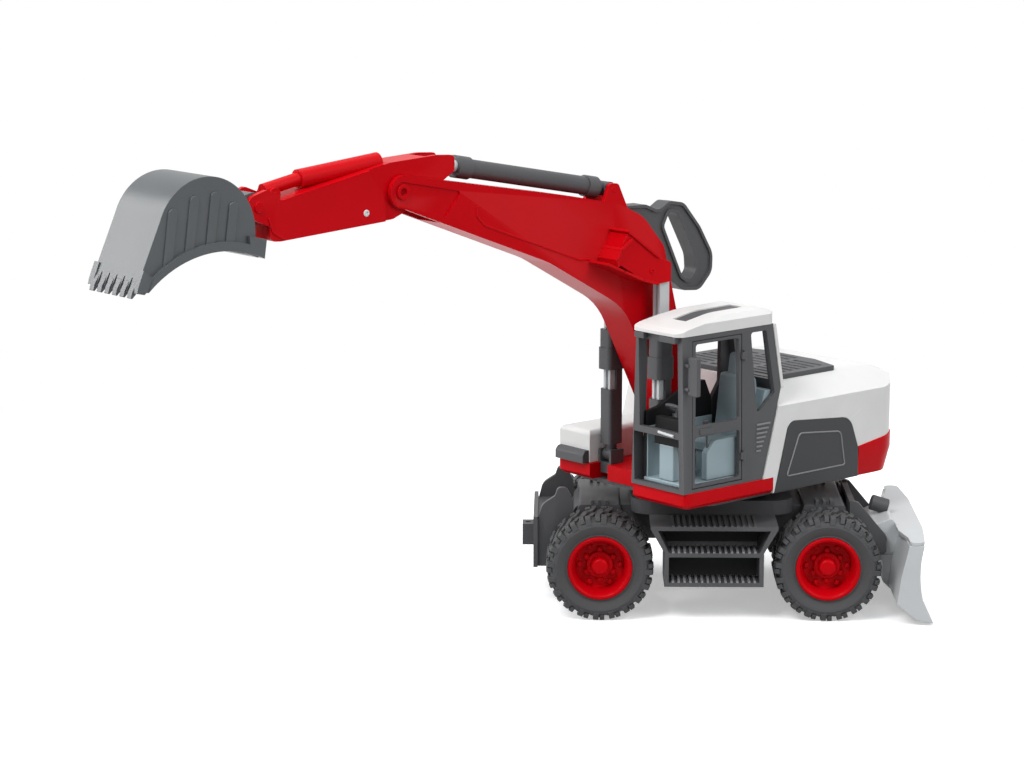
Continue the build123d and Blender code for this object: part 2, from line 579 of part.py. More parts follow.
def bucket():
    start, top, end, tip = bucket_outline(0)
    heel = (405, 286)
    arc = ThreePointArc(start, top, end)
    mouth = ThreePointArc(tip, (449, 285), heel)
    outer = make_face(arc + Line(end, tip) + mouth + Line(heel, start))
    body = side_plane(BUCKET_HALF) * extrude(outer, 2 * BUCKET_HALF)
    start_in, top_in, end_in, tip_in = bucket_outline(BUCKET_WALL)
    mouth_low = [(tip_in[0], 248), (start_in[0] - 2, 248)]
    inner = make_face(ThreePointArc(start_in, top_in, end_in) + Polyline(end_in, tip_in, *mouth_low, start_in))
    hollow_half = BUCKET_HALF - BUCKET_WALL
    body -= side_plane(hollow_half) * extrude(inner, 2 * hollow_half)
    ear = slab([(384, 304), (384, 316), (393, 319), (411, 315), (407, 298)], -FORK_IN + 0.5, FORK_IN - 0.5,
               [5, 5, 5, 0, 0])
    ear -= side_plane(hollow_half) * extrude(inner, 2 * hollow_half)
    body += ear
    body -= cross_pin(BUCKET_PIVOT, ARM_PIN_R + RUN_FIT, -FORK_IN, FORK_IN)
    pitch = 2 * BUCKET_HALF / TEETH
    for k in range(TEETH):
        y = (k + 0.5) * pitch - BUCKET_HALF
        body += slab([(483, 274), (489, 266.5), (480, 268)], y - 2.4, y + 2.4)
    return body


# Cylinders

def boom_barrel(left):
    x, z = BOOM_CYL_FOOT
    y = BOOM_CYL_SIDE
    tube = along((x, z + 8), (x, 165), 5.2, y) + along((x, 165), (x, 190), 6.5, y)
    tube += cross_pin(BOOM_CYL_FOOT, 4.8, y - 4, y + 4) + along((x, z), (x, z + 8), 3.9, y)
    tube -= along((x, z + 12), (x, 191), 4.1, y)
    tube -= cross_pin(BOOM_CYL_FOOT, 2 + RUN_FIT, y - 6, y + 6)
    return tube if left > 0 else mirror(tube, about=Plane.XZ)


def boom_rod(left):
    x, z = BOOM_CYL_PIN
    rod = along((x, 138), (x, z), 3.8, BOOM_CYL_SIDE)
    return rod if left > 0 else mirror(rod, about=Plane.XZ)


def stick_barrel():
    base, eye = STICK_CYL_BASE, STICK_CYL_EYE
    tube = along(between(base, eye, 8), between(base, eye, 134), 6.2)
    tube += along(between(base, eye, 8), between(base, eye, 18), 7.2)
    tube += along(between(base, eye, 122), between(base, eye, 134), 7.4)
    tongue = along(base, between(base, eye, 9), 5)
    tube += tongue + cross_pin(base, 5, -LUG_SLOT_HALF + 0.4, LUG_SLOT_HALF - 0.4)
    tube -= along(between(base, eye, 30), between(base, eye, 136), 4.7)
    return tube - cross_pin(base, 2 + RUN_FIT, -LUG_SLOT_HALF, LUG_SLOT_HALF)


def stick_rod():
    base, eye = STICK_CYL_BASE, STICK_CYL_EYE
    eye_half = LUG_SLOT_HALF - 0.5
    return along(between(base, eye, 60), eye, 4.4) + cross_pin(eye, 5, -eye_half, eye_half)


def slewed(shape):
    return Rot(0, 0, SLEW) * shape


parts = {
    "chassis_frame": chassis_frame(),
    "steps_left": steps(1),
    "steps_right": steps(-1),
    "front_carrier": front_carrier(),
    "rear_carrier": rear_carrier(),
    "blade": blade(),
    "blade_bracket": blade_bracket(),
}

one_tyre = tyre()
one_rim = rim()
for name, ahead, left in (("fl", 1, 1), ("fr", 1, -1), ("rl", -1, 1), ("rr", -1, -1)):
    parts[f"tyre_{name}"] = wheel_place(ahead, left) * one_tyre
    parts[f"rim_{name}"] = wheel_place(ahead, left) * one_rim

upper_parts = {
    "turntable": turntable(),
    "upper_frame": upper_frame(),
    "counterweight": counterweight(),
    "hood": hood(),
    "hood_grille": hood_grille(),
    "engine_panel_left": engine_panel(1),
    "engine_panel_right": engine_panel(-1),
    "tank_box": tank_box(),
    "front_lamps": front_lamps(),
    "cab_frame": cab_frame(),
    "cab_roof": cab_roof(),
    "cab_interior": cab_interior(),
    "door": door(),
}
for name, shape in upper_parts.items():
    parts[name] = slewed(shape)

arm_parts = {
    "boom_bracket": boom_bracket(),
    "cylinder_foot_left": cylinder_foot(1),
    "cylinder_foot_right": cylinder_foot(-1),
    "boom": boom(),
    "grip_handle": grip_handle(),
    "stick": stick(),
    "bucket": bucket(),
    "boom_barrel_left": boom_barrel(1),
    "boom_barrel_right": boom_barrel(-1),
    "boom_rod_left": boom_rod(1),
    "boom_rod_right": boom_rod(-1),
    "stick_barrel": stick_barrel(),
    "stick_rod": stick_rod(),
}
for name, shape in arm_parts.items():
    parts[name] = slewed(Pos(0, ARM_Y, 0) * shape)

os.makedirs("parts", exist_ok=True)
for name, shape in parts.items():
    export_step(shape, f"parts/{name}.step")
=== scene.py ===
import json
import math

import bmesh
import bpy
from mathutils import Matrix, Vector


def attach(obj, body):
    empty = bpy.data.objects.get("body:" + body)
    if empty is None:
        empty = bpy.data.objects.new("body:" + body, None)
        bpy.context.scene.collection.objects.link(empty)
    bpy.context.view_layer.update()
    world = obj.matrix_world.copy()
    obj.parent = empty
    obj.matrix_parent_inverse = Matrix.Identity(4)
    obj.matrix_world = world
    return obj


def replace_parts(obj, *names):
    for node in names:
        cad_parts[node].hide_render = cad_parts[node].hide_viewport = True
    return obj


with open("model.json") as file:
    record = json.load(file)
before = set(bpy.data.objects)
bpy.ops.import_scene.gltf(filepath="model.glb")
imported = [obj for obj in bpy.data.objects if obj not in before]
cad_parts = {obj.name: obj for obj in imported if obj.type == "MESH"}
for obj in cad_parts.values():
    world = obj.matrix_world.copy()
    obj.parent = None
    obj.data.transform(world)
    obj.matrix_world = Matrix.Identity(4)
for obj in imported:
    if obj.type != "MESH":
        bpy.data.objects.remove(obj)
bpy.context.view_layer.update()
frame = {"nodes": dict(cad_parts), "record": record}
nodes = frame["nodes"]

MM = 0.001

# Finish of each moulded plastic: linear colour, roughness, shine, height of the grain
PLASTICS = {
    "red": ((0.52, 0.0010, 0.005), 0.32, 0.06, 0.05),
    "white": ((0.68, 0.68, 0.67), 0.38, 0.30, 0.04),
    "dark": ((0.066, 0.067, 0.071), 0.48, 0.34, 0.12),
    "bucket_grey": ((0.074, 0.081, 0.086), 0.36, 0.44, 0.10),
    "pale": ((0.27, 0.35, 0.38), 0.40, 0.40, 0.06),
    "light": ((0.52, 0.54, 0.55), 0.34, 0.40, 0.05),
    "tyre": ((0.050, 0.051, 0.053), 0.60, 0.36, 0.20),
    "panel": ((0.028, 0.029, 0.031), 0.48, 0.34, 0.12),
    "steel": ((0.55, 0.56, 0.57), 0.30, 0.60, 0.03),
    # Paler grey for raised ribs, lines and slats: a painted highlight where they catch light
    "highlight_grey": ((0.20, 0.20, 0.21), 0.45, 0.40, 0.08),
    # Near black for shaded interiors and hollows: painted shade
    "shade_black": ((0.008, 0.008, 0.009), 0.60, 0.15, 0.05),
}
GRAIN_SCALE = 1600.0
MOTTLE_SCALE = 30.0

# Sides of the machine: sign across it and name
SIDES = ((1, "left"), (-1, "right"))

# Wheels, millimetres
TRACK_HALF = 61.5
AXLE_AHEAD = 78.0
WHEEL_R = 37.0
WHEEL_STEPS = 144
TREAD_ROOT = 33.4
LUGS = 20
LUG_REACH = 4.0
LUG_LONG = [(10.0, TREAD_ROOT), (10.0, WHEEL_R), (15.2, WHEEL_R), (16.8, 35.8), (18.3, 31.4), (17.4, 30.2),
            (15.0, 32.0)]
LUG_SHORT = [(10.0, TREAD_ROOT), (10.0, WHEEL_R), (15.2, WHEEL_R), (16.6, 35.8), (17.3, 33.2), (15.0, 32.6)]
LUG_MIDDLE = [(0.8, TREAD_ROOT), (0.8, WHEEL_R), (8.9, WHEEL_R), (8.9, TREAD_ROOT)]

# Rows of tread blocks: outline, place round the tyre, width and lean
TREAD_ROWS = (
    (LUG_LONG, -2.8, 3.8, 0.0),
    (LUG_SHORT, 1.7, 3.2, 0.0),
    (LUG_MIDDLE, -5.8, 3.9, 0.34),
    (LUG_MIDDLE, 0.0, 3.9, 0.34),
)

# Sections of tyre and rim, millimetres: places along the axis and radii
TYRE_SIDE = [(14.6, 20.0), (15.1, 21.4), (15.9, 22.4), (15.7, 23.4), (16.5, 25.2), (17.5, 27.4),
             (18.3, 29.0), (18.5, 29.8), (18.2, 30.3), (18.1, 31.0), (17.2, 32.4), (15.4, 33.6),
             (13.0, 34.3), (8.0, 34.5)]
RIM_FORM = [(14.2, 0.0), (14.2, 3.9), (13.9, 4.9), (13.1, 5.7), (7.3, 6.3), (6.9, 6.7), (6.9, 8.6),
            (6.5, 9.2), (3.2, 9.5), (3.2, 16.0), (3.8, 16.6), (13.6, 17.5), (16.3, 18.7), (17.3, 19.6),
            (17.75, 20.4), (17.75, 21.2), (17.4, 21.9), (16.8, 22.2), (16.0, 22.1), (16.0, 19.94),
            (-15.0, 19.94), (-15.0, 17.4), (1.3, 17.4), (1.3, 7.0), (-14.0, 7.0), (-14.0, 3.06),
            (4.3, 3.06), (4.3, 0.0)]
RIM_BOLTS = 6
BOLT_FORM = [(2.5, 0.0), (2.5, 1.9), (5.4, 1.9), (5.8, 1.5), (5.8, 0.0)]
BOLT_RING_R = 14.0
LUMP_FORM = [(2.5, 0.0), (2.5, 2.2), (5.6, 2.0), (6.2, 1.3), (6.2, 0.0)]
LUMP_RING_R = 10.6

# Dozer blade, millimetres
BLADE_PIVOT = (-108.0, 46.0)
BLADE_BORE_R = 3.06
BLADE_HALF = 88.0
BLADE_TOP = 56.0
BLADE_LIP = 2.6
BLADE_ARM_HALF = 29.0

# Steps, millimetres
STEP_IN = 61.0
STEP_OUT = 80.1
STEP_LOW = 27.7
STEP_MID = 48.5
STEP_BACK = (46.8, 48.0)
STEP_RIBS = 15
RIB_PITCH = 4.0
RIB_HALF = 0.9

# Upper half, millimetres in its own directions
SLEW = math.radians(42.0)
FRAME_LOW = 87.0
FRAME_TOP = 98.0
SILL_CHAMFER = 2.5
UPPER_HALF = 74.0
BAY_RIGHT = -42.5
BAY_LEFT = 22.0
TAIL_X = -118.0
TAIL_CORNER_R = 21.0
WEIGHT_PROUD = 0.8
WEIGHT_TAPER = 4.36
HOOD_TOP = 159.0
ABOVE_HOOD = 170.0
GRILLE_REAR = -80.0
GRILLE_HIGH = 3.5
VENTS = 9
VENT_PITCH = 7.4
VENT_ROW = 31.0
PANEL_DEEP = 4.0
PANEL_PROUD = 0.6
PANEL_RADII = [0, 8, 12, 4, 0]
TANK_TOP = 121.0

# Cab, millimetres
CAB_FLOOR = FRAME_TOP + 5.0
ROOF_LOW = 205.0
ROOF_TOP = 216.0
ROOF_X = (12.0, 103.0)
ROOF_Y = (27.0, 73.8)
ROOF_OVER = 0.1
HATCH_X = (27.0, 81.0)
HATCH_Y = (44.0, 57.0)
HATCH_DEEP = 2.6
DOOR_INSIDE = 69.8
DOOR_OUTSIDE = 73.0
DOOR_CUT = (60.0, 80.0)
DOOR_AXIS = (41.6, 74.4)
HINGES_Z = (114.0, 183.0)
LOUVRES = 7
SEAT_Y = (36.0, 61.0)
STEERING_HUB = (78.0, 49.0, 150.0)
STEERING_LEAN = math.radians(-28.0)
STEERING_R = 9.0
STEERING_STEPS = 40

# Arm, millimetres: ARM_Y and CYL_FEET across the upper half, the rest about the arm's middle plane
ARM_Y = -10.0
ARM_BORE_R = 3.56
BOOM_HALF = 14.0
BOOM_END_R = 10.5
BOOM_FOOT = (21.0, 110.0)
BOOM_CYL_FOOT = (63.0, 104.0)
BOOM_CYL_PIN = (63.0, 238.0)
BOOM_CYL_SIDE = 24.5
CYL_BORE_R = 2.06
CYL_FEET = (ARM_Y - BOOM_CYL_SIDE, ARM_Y + BOOM_CYL_SIDE)
FOOT_SLOT_HALF = 5.5
FOOT_LEG_HALF = 4.5
COVER_SIDE = 31.0
COVER_SCREW = (78.0, 241.5)
STICK_PIVOT = (279.0, 310.0)
STICK_HALF = 13.0
STICK_SCREW = (308.3, 299.1)
STICK_BOSS = (374.2, 315.8)
SCREW_R = 2.2
HEAD_OUTLINE = [(231, 306.6), (280.5, 316.7), (287, 313), (288.2, 308), (283.9, 301.7), (244.4, 291.4)]
BOOM_LINE = [(218, 295), (218.5, 289.5), (212, 282.8), (163, 264.6), (129.5, 252.3), (120, 251.4)]

# Bucket, millimetres
BUCKET_PIVOT = (391.4, 310.0)
BUCKET_CENTRE = (437.5, 298.0)
BUCKET_MOUTH = (BUCKET_CENTRE[0] + 4.5, BUCKET_CENTRE[1] - 10.8)
BUCKET_R = 35.5
BUCKET_HALF = 24.0
BUCKET_WALL = 2.5
TEETH = 6
TOOTH_PITCH = 8.0
TOOTH_HALF = 2.3
LIP_LEAN = math.radians(-24.7)
BUCKET_RIB_HALF = 3.3
RIB_TOPS = ((24.5, 15.0), (8.8, 21.5), (-6.3, 22.8), (-19.5, 15.5))

# Light: tones of the floor, and strength of the sky from its edge to its top
FLOOR_SEEN = (0.88, 0.88, 0.89, 1)
FLOOR_BOUNCE = (0.30, 0.30, 0.30, 1)
FLOOR_GLOW = 0.40
FLOOR_FADE = (0.45, 0.90)
SKY_COLOUR = (0.96, 0.98, 1.0, 1)
SKY_LEVELS = (0.36, 0.80)
WHITE = (1, 1, 1, 1)

# Lamps: place, target and size in metres, power in watts
LAMPS = {
    "key": ((1.0, 1.3, 2.0), (0.1, 0.0, 0.15), 1.0, 33),
    "fill": ((-1.4, 1.3, 1.4), (0.0, 0.0, 0.12), 1.4, 19),
    "top": ((0.1, -0.5, 2.2), (0.1, 0.0, 0.15), 1.6, 8),
    "side": ((1.35, 0.0, 0.65), (0.3, 0.25, 0.28), 0.9, 10),
}

# Camera of the photograph
CAMERA_AT = (0.1034, 2.0714, 0.5493)
CAMERA_TURN = (math.radians(79.1), 0.0, math.radians(181.0))
LENS_MM = 105.47
SENSOR_MM = 36.0


# Materials

def link(tree, source, output, target, socket):
    tree.links.new(source.outputs[output], target.inputs[socket])


def add_node(tree, kind, **values):
    made = tree.nodes.new(kind)
    for name, value in values.items():
        made.inputs[name.replace("_", " ")].default_value = value
    return made


def add_math(tree, operation):
    made = tree.nodes.new("ShaderNodeMath")
    made.operation = operation
    return made


def plastic(name, colour, rough, shine, grain_height):
    """Moulded plastic: mottled colour, uneven gloss, fine surface grain and edges painted paler as a
    highlight.
    """
    material = bpy.data.materials.new(name)
    material.use_nodes = True
    tree = material.node_tree
    shader = tree.nodes["Principled BSDF"]
    shader.inputs["Specular IOR Level"].default_value = shine
    place = tree.nodes.new("ShaderNodeTexCoord")
    mottle = add_node(tree, "ShaderNodeTexNoise", Scale=MOTTLE_SCALE, Detail=5.0)
    link(tree, place, "Object", mottle, "Vector")
    tone = tree.nodes.new("ShaderNodeValToRGB")
    tone.color_ramp.elements[0].position = 0.30
    tone.color_ramp.elements[0].color = (*[0.95 * c for c in colour], 1)
    tone.color_ramp.elements[1].position = 0.72
    tone.color_ramp.elements[1].color = (*[min(1.0, 1.04 * c) for c in colour], 1)
    link(tree, mottle, "Fac", tone, "Fac")
    edge = tree.nodes.new("ShaderNodeNewGeometry")
    # Painted highlight: the colour is mixed towards a paler tone on sharp edges, where light would catch
    # them
    edge_highlight = add_node(tree, "ShaderNodeMapRange", From_Min=0.54, From_Max=0.66, To_Min=0.0, To_Max=0.16)
    link(tree, edge, "Pointiness", edge_highlight, "Value")
    blend = tree.nodes.new("ShaderNodeMixRGB")
    blend.inputs["Color2"].default_value = (*[min(1.0, 0.06 + 1.25 * c) for c in colour], 1)
    link(tree, edge_highlight, "Result", blend, "Fac")
    link(tree, tone, "Color", blend, "Color1")
    link(tree, blend, "Color", shader, "Base Color")
    gloss = add_node(tree, "ShaderNodeMapRange", To_Min=rough - 0.04, To_Max=rough + 0.06)
    link(tree, mottle, "Fac", gloss, "Value")
    link(tree, gloss, "Result", shader, "Roughness")
    grain = add_node(tree, "ShaderNodeTexNoise", Scale=GRAIN_SCALE, Detail=2.0)
    link(tree, place, "Object", grain, "Vector")
    bump = add_node(tree, "ShaderNodeBump", Strength=grain_height, Distance=0.0004)
    link(tree, grain, "Fac", bump, "Height")
    link(tree, bump, "Normal", shader, "Normal")
    return material


materials = {name: plastic(name, *finish) for name, finish in PLASTICS.items()}


# Moulding edges

EDGE_DEFAULT = 0.5 * MM


def round_edges(made, width, limit=32.0):
    bevel = made.modifiers.new("edges", "BEVEL")
    bevel.width = width
    bevel.segments = 2
    bevel.limit_method = "ANGLE"
    bevel.angle_limit = math.radians(limit)
    bevel.use_clamp_overlap = True
    bevel.harden_normals = True


def soften(made, width):
    """Rounds the sharp moulding edges of a CAD node."""
    flat = made.modifiers.new("flat_faces", "DECIMATE")
    flat.decimate_type = "DISSOLVE"
    flat.angle_limit = math.radians(1.0)
    round_edges(made, width)


for row in frame["record"]["subparts"]:
    node = nodes[row["node"]]
    node.data.materials.clear()
    node.data.materials.append(materials[row["material_slot"]])
    soften(node, EDGE_DEFAULT)


# Forms: points in millimetres and faces

def rounded(points, radius=0.0):
    """An outline with each corner drawn as an arc of its own radius."""
    count = len(points)
    radii = radius if isinstance(radius, list) else [radius] * count
    line = []
    for k, (corner, r) in enumerate(zip(points, radii)):
        here = Vector(corner)
        if not r:
            line.append(here)
            continue
        to_last = (Vector(points[k - 1]) - here).normalized()
        to_next = (Vector(points[(k + 1) % count]) - here).normalized()
        half = to_last.angle(to_next) / 2
        centre = here + (to_last + to_next).normalized() * (r / math.sin(half))
        first = here + to_last * (r / math.tan(half)) - centre
        last = here + to_next * (r / math.tan(half)) - centre
        start = math.atan2(first.y, first.x)
        turn = (math.atan2(last.y, last.x) - start + math.pi) % (2 * math.pi) - math.pi
        steps = max(2, math.ceil(abs(turn) / math.radians(8)))
        for j in range(steps + 1):
            angle = start + turn * j / steps
            line.append(centre + r * Vector((math.cos(angle), math.sin(angle))))
    return line


def arc(start, middle, end, steps=32):
    """Spots on the arc from start through middle to end."""
    a, b, c = Vector(start), Vector(middle), Vector(end)
    ab, ac = b - a, c - a
    across = 2 * ab.cross(ac)
    near, far = ab.dot(ab), ac.dot(ac)
    centre = a + Vector((ac.y * near - ab.y * far, ab.x * far - ac.x * near)) / across
    radius = (a - centre).length
    angles = [math.atan2(spot.y - centre.y, spot.x - centre.x) for spot in (a, b, c)]
    way = 1 if across > 0 else -1
    turn = way * ((way * (angles[2] - angles[0])) % (2 * math.pi))
    spots = []
    for k in range(steps + 1):
        angle = angles[0] + turn * k / steps
        spots.append(centre + radius * Vector((math.cos(angle), math.sin(angle))))
    return spots


def grown(outline, amount):
    """An outline moved outwards, or inwards where the amount is negative."""
    count = len(outline)
    area = sum(outline[k - 1].cross(outline[k]) for k in range(count))
    way = amount if area > 0 else -amount
    moved_line = []
    for k, here in enumerate(outline):
        run = (outline[(k + 1) % count] - outline[k - 1]).normalized()
        moved_line.append(here + way * Vector((run.y, -run.x)))
    return moved_line


def lofted(sections):
    """A body through closed rings of spots that match one to one."""
    count = len(sections[0])
    points = [spot for section in sections for spot in section]
    faces = [tuple(range(count)), tuple(range(len(points) - 1, len(points) - count - 1, -1))]
    for k in range(len(sections) - 1):
        for j in range(count):
            after = (j + 1) % count
            low, high = k * count, (k + 1) * count
            faces.append((low + j, low + after, high + after, high + j))
    return points, faces


def spread(outline, axis, low, high):
    """An outline of two coordinates, spread along the third axis."""
    sections = []
    for level in (low, high):
        ring = []
        for spot in outline:
            place = list(spot)
            place.insert(axis, level)
            ring.append(tuple(place))
        sections.append(ring)
    return lofted(sections)


def slab(points, y_low, y_high, radius=0.0):
    return spread(rounded(points, radius), 1, y_low, y_high)


def plan_slab(points, z_low, z_high, radius=0.0):
    return spread(rounded(points, radius), 2, z_low, z_high)


def block(x_span, y_span, z_span):
    """A box between two limits on each axis."""
    (x0, x1), (z0, z1) = x_span, z_span
    return slab([(x0, z0), (x1, z0), (x1, z1), (x0, z1)], *y_span)


def post(section, x, y, z_low, z_high, corner=0.0):
    """An upright bar of rectangular section, ahead by across."""
    dx, dy = section[0] / 2, section[1] / 2
    corners = [(x - dx, y - dy), (x + dx, y - dy), (x + dx, y + dy), (x - dx, y + dy)]
    return plan_slab(corners, z_low, z_high, corner)


def turned_form(profile, steps):
    """A closed outline of places along the wheel's axis and radii, turned round that axis."""
    count = len(profile)
    points = []
    faces = []
    for k in range(steps):
        angle = 2 * math.pi * k / steps
        points += [(r * math.sin(angle), y, r * math.cos(angle)) for y, r in profile]
        here = k * count
        there = (k + 1) % steps * count
        for j in range(count):
            after = (j + 1) % count
            faces.append((here + j, here + after, there + after, there + j))
    return points, faces


def tube(path, radius, sides=16, closed=False):
    """A round bar along a path."""
    path = [Vector(spot) for spot in path]
    count = len(path)
    rings = []
    for k, spot in enumerate(path):
        before = path[k - 1] if k or closed else spot
        after = path[(k + 1) % count] if k < count - 1 or closed else spot
        ahead = (after - before).normalized()
        if k == 0:
            across = ahead.orthogonal().normalized()
        across = (across - ahead * across.dot(ahead)).normalized()
        up = ahead.cross(across)
        ring = []
        for j in range(sides):
            angle = 2 * math.pi * j / sides
            ring.append(spot + radius * (across * math.cos(angle) + up * math.sin(angle)))
        rings.append(ring)
    points, faces = lofted(rings)
    if closed:
        end = (count - 1) * sides
        faces = faces[2:]
        for j in range(sides):
            after = (j + 1) % sides
            faces.append((end + j, end + after, after, j))
    return points, faces


def cross_pin(centre, radius, y_low, y_high, sides=48):
    """A round bar across the machine at a side view point."""
    x, z = centre
    return tube([(x, y_low, z), (x, y_high, z)], radius, sides)


def moved(form, matrix):
    points, faces = form
    return [matrix @ Vector(spot) for spot in points], faces


def joined(*forms):
    points = []
    faces = []
    for more_points, more_faces in forms:
        start = len(points)
        points += more_points
        faces += [tuple(start + j for j in face) for face in more_faces]
    return points, faces


def flipped(form, side):
    """A form on the left side as drawn, or mirrored to the right."""
    return moved(form, Matrix.Diagonal((1, side, 1, 1)))


def both_sides(form):
    return joined(form, flipped(form, -1))


def ridge(path, y_low, y_high, wide):
    """A raised line along an open side view path."""
    runs = []
    for start, end in zip(path, path[1:]):
        a, b = Vector(start), Vector(end)
        run = (b - a).normalized() * wide / 2
        side = Vector((-run.y, run.x))
        corners = [a - run + side, b + run + side, b + run - side, a - run - side]
        runs.append(slab(corners, y_low, y_high))
    return joined(*runs)


def solid(form):
    """A plain object for cutting and joining forms."""
    points, faces = form
    mesh = bpy.data.meshes.new("work")
    mesh.from_pydata([Vector(spot) for spot in points], [], faces)
    work = bmesh.new()
    work.from_mesh(mesh)
    bmesh.ops.remove_doubles(work, verts=work.verts, dist=1e-5)
    bmesh.ops.recalc_face_normals(work, faces=work.faces)
    work.to_mesh(mesh)
    work.free()
    made = bpy.data.objects.new("work", mesh)
    bpy.context.scene.collection.objects.link(made)
    return made


def combined(operation, form, *tools):
    base = solid(form)
    others = [solid(tool) for tool in tools]
    for other in others:
        step = base.modifiers.new("step", "BOOLEAN")
        step.operation = operation
        step.object = other
        step.solver = "EXACT"
    graph = bpy.context.evaluated_depsgraph_get()
    mesh = bpy.data.meshes.new_from_object(base.evaluated_get(graph))
    points = [spot.co.copy() for spot in mesh.vertices]
    faces = [tuple(face.vertices) for face in mesh.polygons]
    for made in (base, *others):
        used = made.data
        bpy.data.objects.remove(made)
        bpy.data.meshes.remove(used)
    bpy.data.meshes.remove(mesh)
    return points, faces


def cut(form, *tools):
    return combined("DIFFERENCE", form, *tools)


def common(form, *tools):
    return combined("INTERSECT", form, *tools)


def fused(form, *tools):
    return combined("UNION", form, *tools)


def piece(name, form, slot, body, edge=0.0, limit=32.0, finish=None):
    """An object that rides a body, in the plastic of its slot or in a finish of its own."""
    made = solid(form)
    made.name = name
    mesh = made.data
    mesh.name = name
    mesh.transform(Matrix.Scale(MM, 4))
    mesh.polygons.foreach_set("use_smooth", [True] * len(mesh.polygons))
    mesh.set_sharp_from_angle(angle=math.radians(limit))
    mesh.materials.append(materials[finish or slot])
    if edge:
        round_edges(made, edge * MM, limit)
    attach(made, body)
    return made


# Wheels

def lug_row(outline, offset, wide, lean):
    """One ring of tread blocks on the outer half, its tops on the rolling radius."""
    top = math.sqrt(WHEEL_R ** 2 - (abs(offset) + wide / 2 + abs(lean) * LUG_REACH) ** 2)
    outline = [(y, min(z, top)) for y, z in outline]
    middle = (outline[0][0] + outline[2][0]) / 2
    shear = Matrix.Identity(4)
    shear[0][1] = lean
    shear[0][3] = -lean * middle
    form = moved(spread(outline, 0, -wide / 2, wide / 2), shear)
    rows = []
    for k in range(LUGS):
        turn = Matrix.Rotation(2 * math.pi * k / LUGS + offset / WHEEL_R, 4, "Y")
        rows.append(moved(form, turn))
    return joined(*rows)


def tyre_form():
    carcass = turned_form(TYRE_SIDE + [(-y, r) for y, r in reversed(TYRE_SIDE)], WHEEL_STEPS)
    tread = joined(*[lug_row(*row) for row in TREAD_ROWS])
    other = moved(tread, Matrix.Rotation(math.pi / LUGS, 4, "Y") @ Matrix.Diagonal((-1, -1, 1, 1)))
    return carcass, joined(tread, other)


def rim_form():
    lump = turned_form(LUMP_FORM, 20)
    bolt = turned_form(BOLT_FORM, 6)
    parts = []
    for k in range(RIM_BOLTS):
        turn = 2 * math.pi * k / RIM_BOLTS
        parts.append(moved(bolt, Matrix.Rotation(turn, 4, "Y") @ Matrix.Translation((BOLT_RING_R, 0, 0))))
        turn += math.pi / RIM_BOLTS
        parts.append(moved(lump, Matrix.Rotation(turn, 4, "Y") @ Matrix.Translation((LUMP_RING_R, 0, 0))))
    return turned_form(RIM_FORM, WHEEL_STEPS), joined(*parts)


def wheels():
    carcass, tread = tyre_form()
    dish, bolts = rim_form()
    for end, ahead in (("f", AXLE_AHEAD), ("r", -AXLE_AHEAD)):
        for side, left in (("l", 1), ("r", -1)):
            tag = end + side
            place = Matrix.Translation((ahead, left * TRACK_HALF, WHEEL_R))
            if left < 0:
                place = place @ Matrix.Rotation(math.pi, 4, "Z")
            body = "wheel_" + tag
            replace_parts(piece("tyre_carcass_" + tag, moved(carcass, place), "tyre", body), "tyre_" + tag)
            piece("tyre_tread_" + tag, moved(tread, place), "tyre", body, 0.35, 40.0)
            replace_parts(piece("rim_dish_" + tag, moved(dish, place), "red", body, 0.25), "rim_" + tag)
            piece("rim_bolts_" + tag, moved(bolts, place), "red", body, 0.2)


# Dozer blade

def blade_pieces():
    x = BLADE_PIVOT[0]
    rear = x - 34.4
    face = arc((rear, BLADE_TOP), (x - 32, 38), (x - 34, 18))
    back = [(x - 41.7, 1.5), (x - 29, 4), (x - 16.3, 15), (x - 18.8, 33), (x - 24, BLADE_TOP)]
    board = spread(face + back, 1, -BLADE_HALF, BLADE_HALF)
    end = [(rear - 3.6, 44), (rear, BLADE_HALF), (x - 24.5, BLADE_HALF), (x - 24.5, BLADE_HALF - 14),
           (x - 20, BLADE_HALF - 36)]
    radii = [120, 5, 3, 14, 14]
    both_ends = end + [(px, -py) for px, py in reversed(end)]
    lip = plan_slab(both_ends, BLADE_TOP, BLADE_TOP + BLADE_LIP, radii + radii[::-1])
    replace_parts(piece("blade_board", joined(board, lip), "light", "blade", 0.5), "blade")
    web = [(x - 24, 54), (x - 18, 61.5), (x + 6, 51), (x + 6, 41), (x - 9, 34), (x - 12.5, 30),
           (x - 12.5, 16), (x - 22, 7), (x - 26, 12)]
    bracket = slab(web, -BLADE_ARM_HALF, BLADE_ARM_HALF, [0, 3, 4, 4, 2, 2, 3, 0, 0])
    seam = block((x - 30, x + 8), (BLADE_ARM_HALF - 1.2, BLADE_ARM_HALF + 1), (35, 36.2))
    bore = cross_pin(BLADE_PIVOT, BLADE_BORE_R, -40, 40)
    bracket = cut(bracket, both_sides(seam), bore)
    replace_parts(piece("blade_arm", bracket, "pale", "blade", 0.5, finish="light"), "blade_bracket")
    ram = tube([(x - 6, 0, 66.5), (x - 18, 0, 62.8)], 5.5, 40)
    piece("blade_ram", ram, "dark", "blade", 0.8)


# Side steps

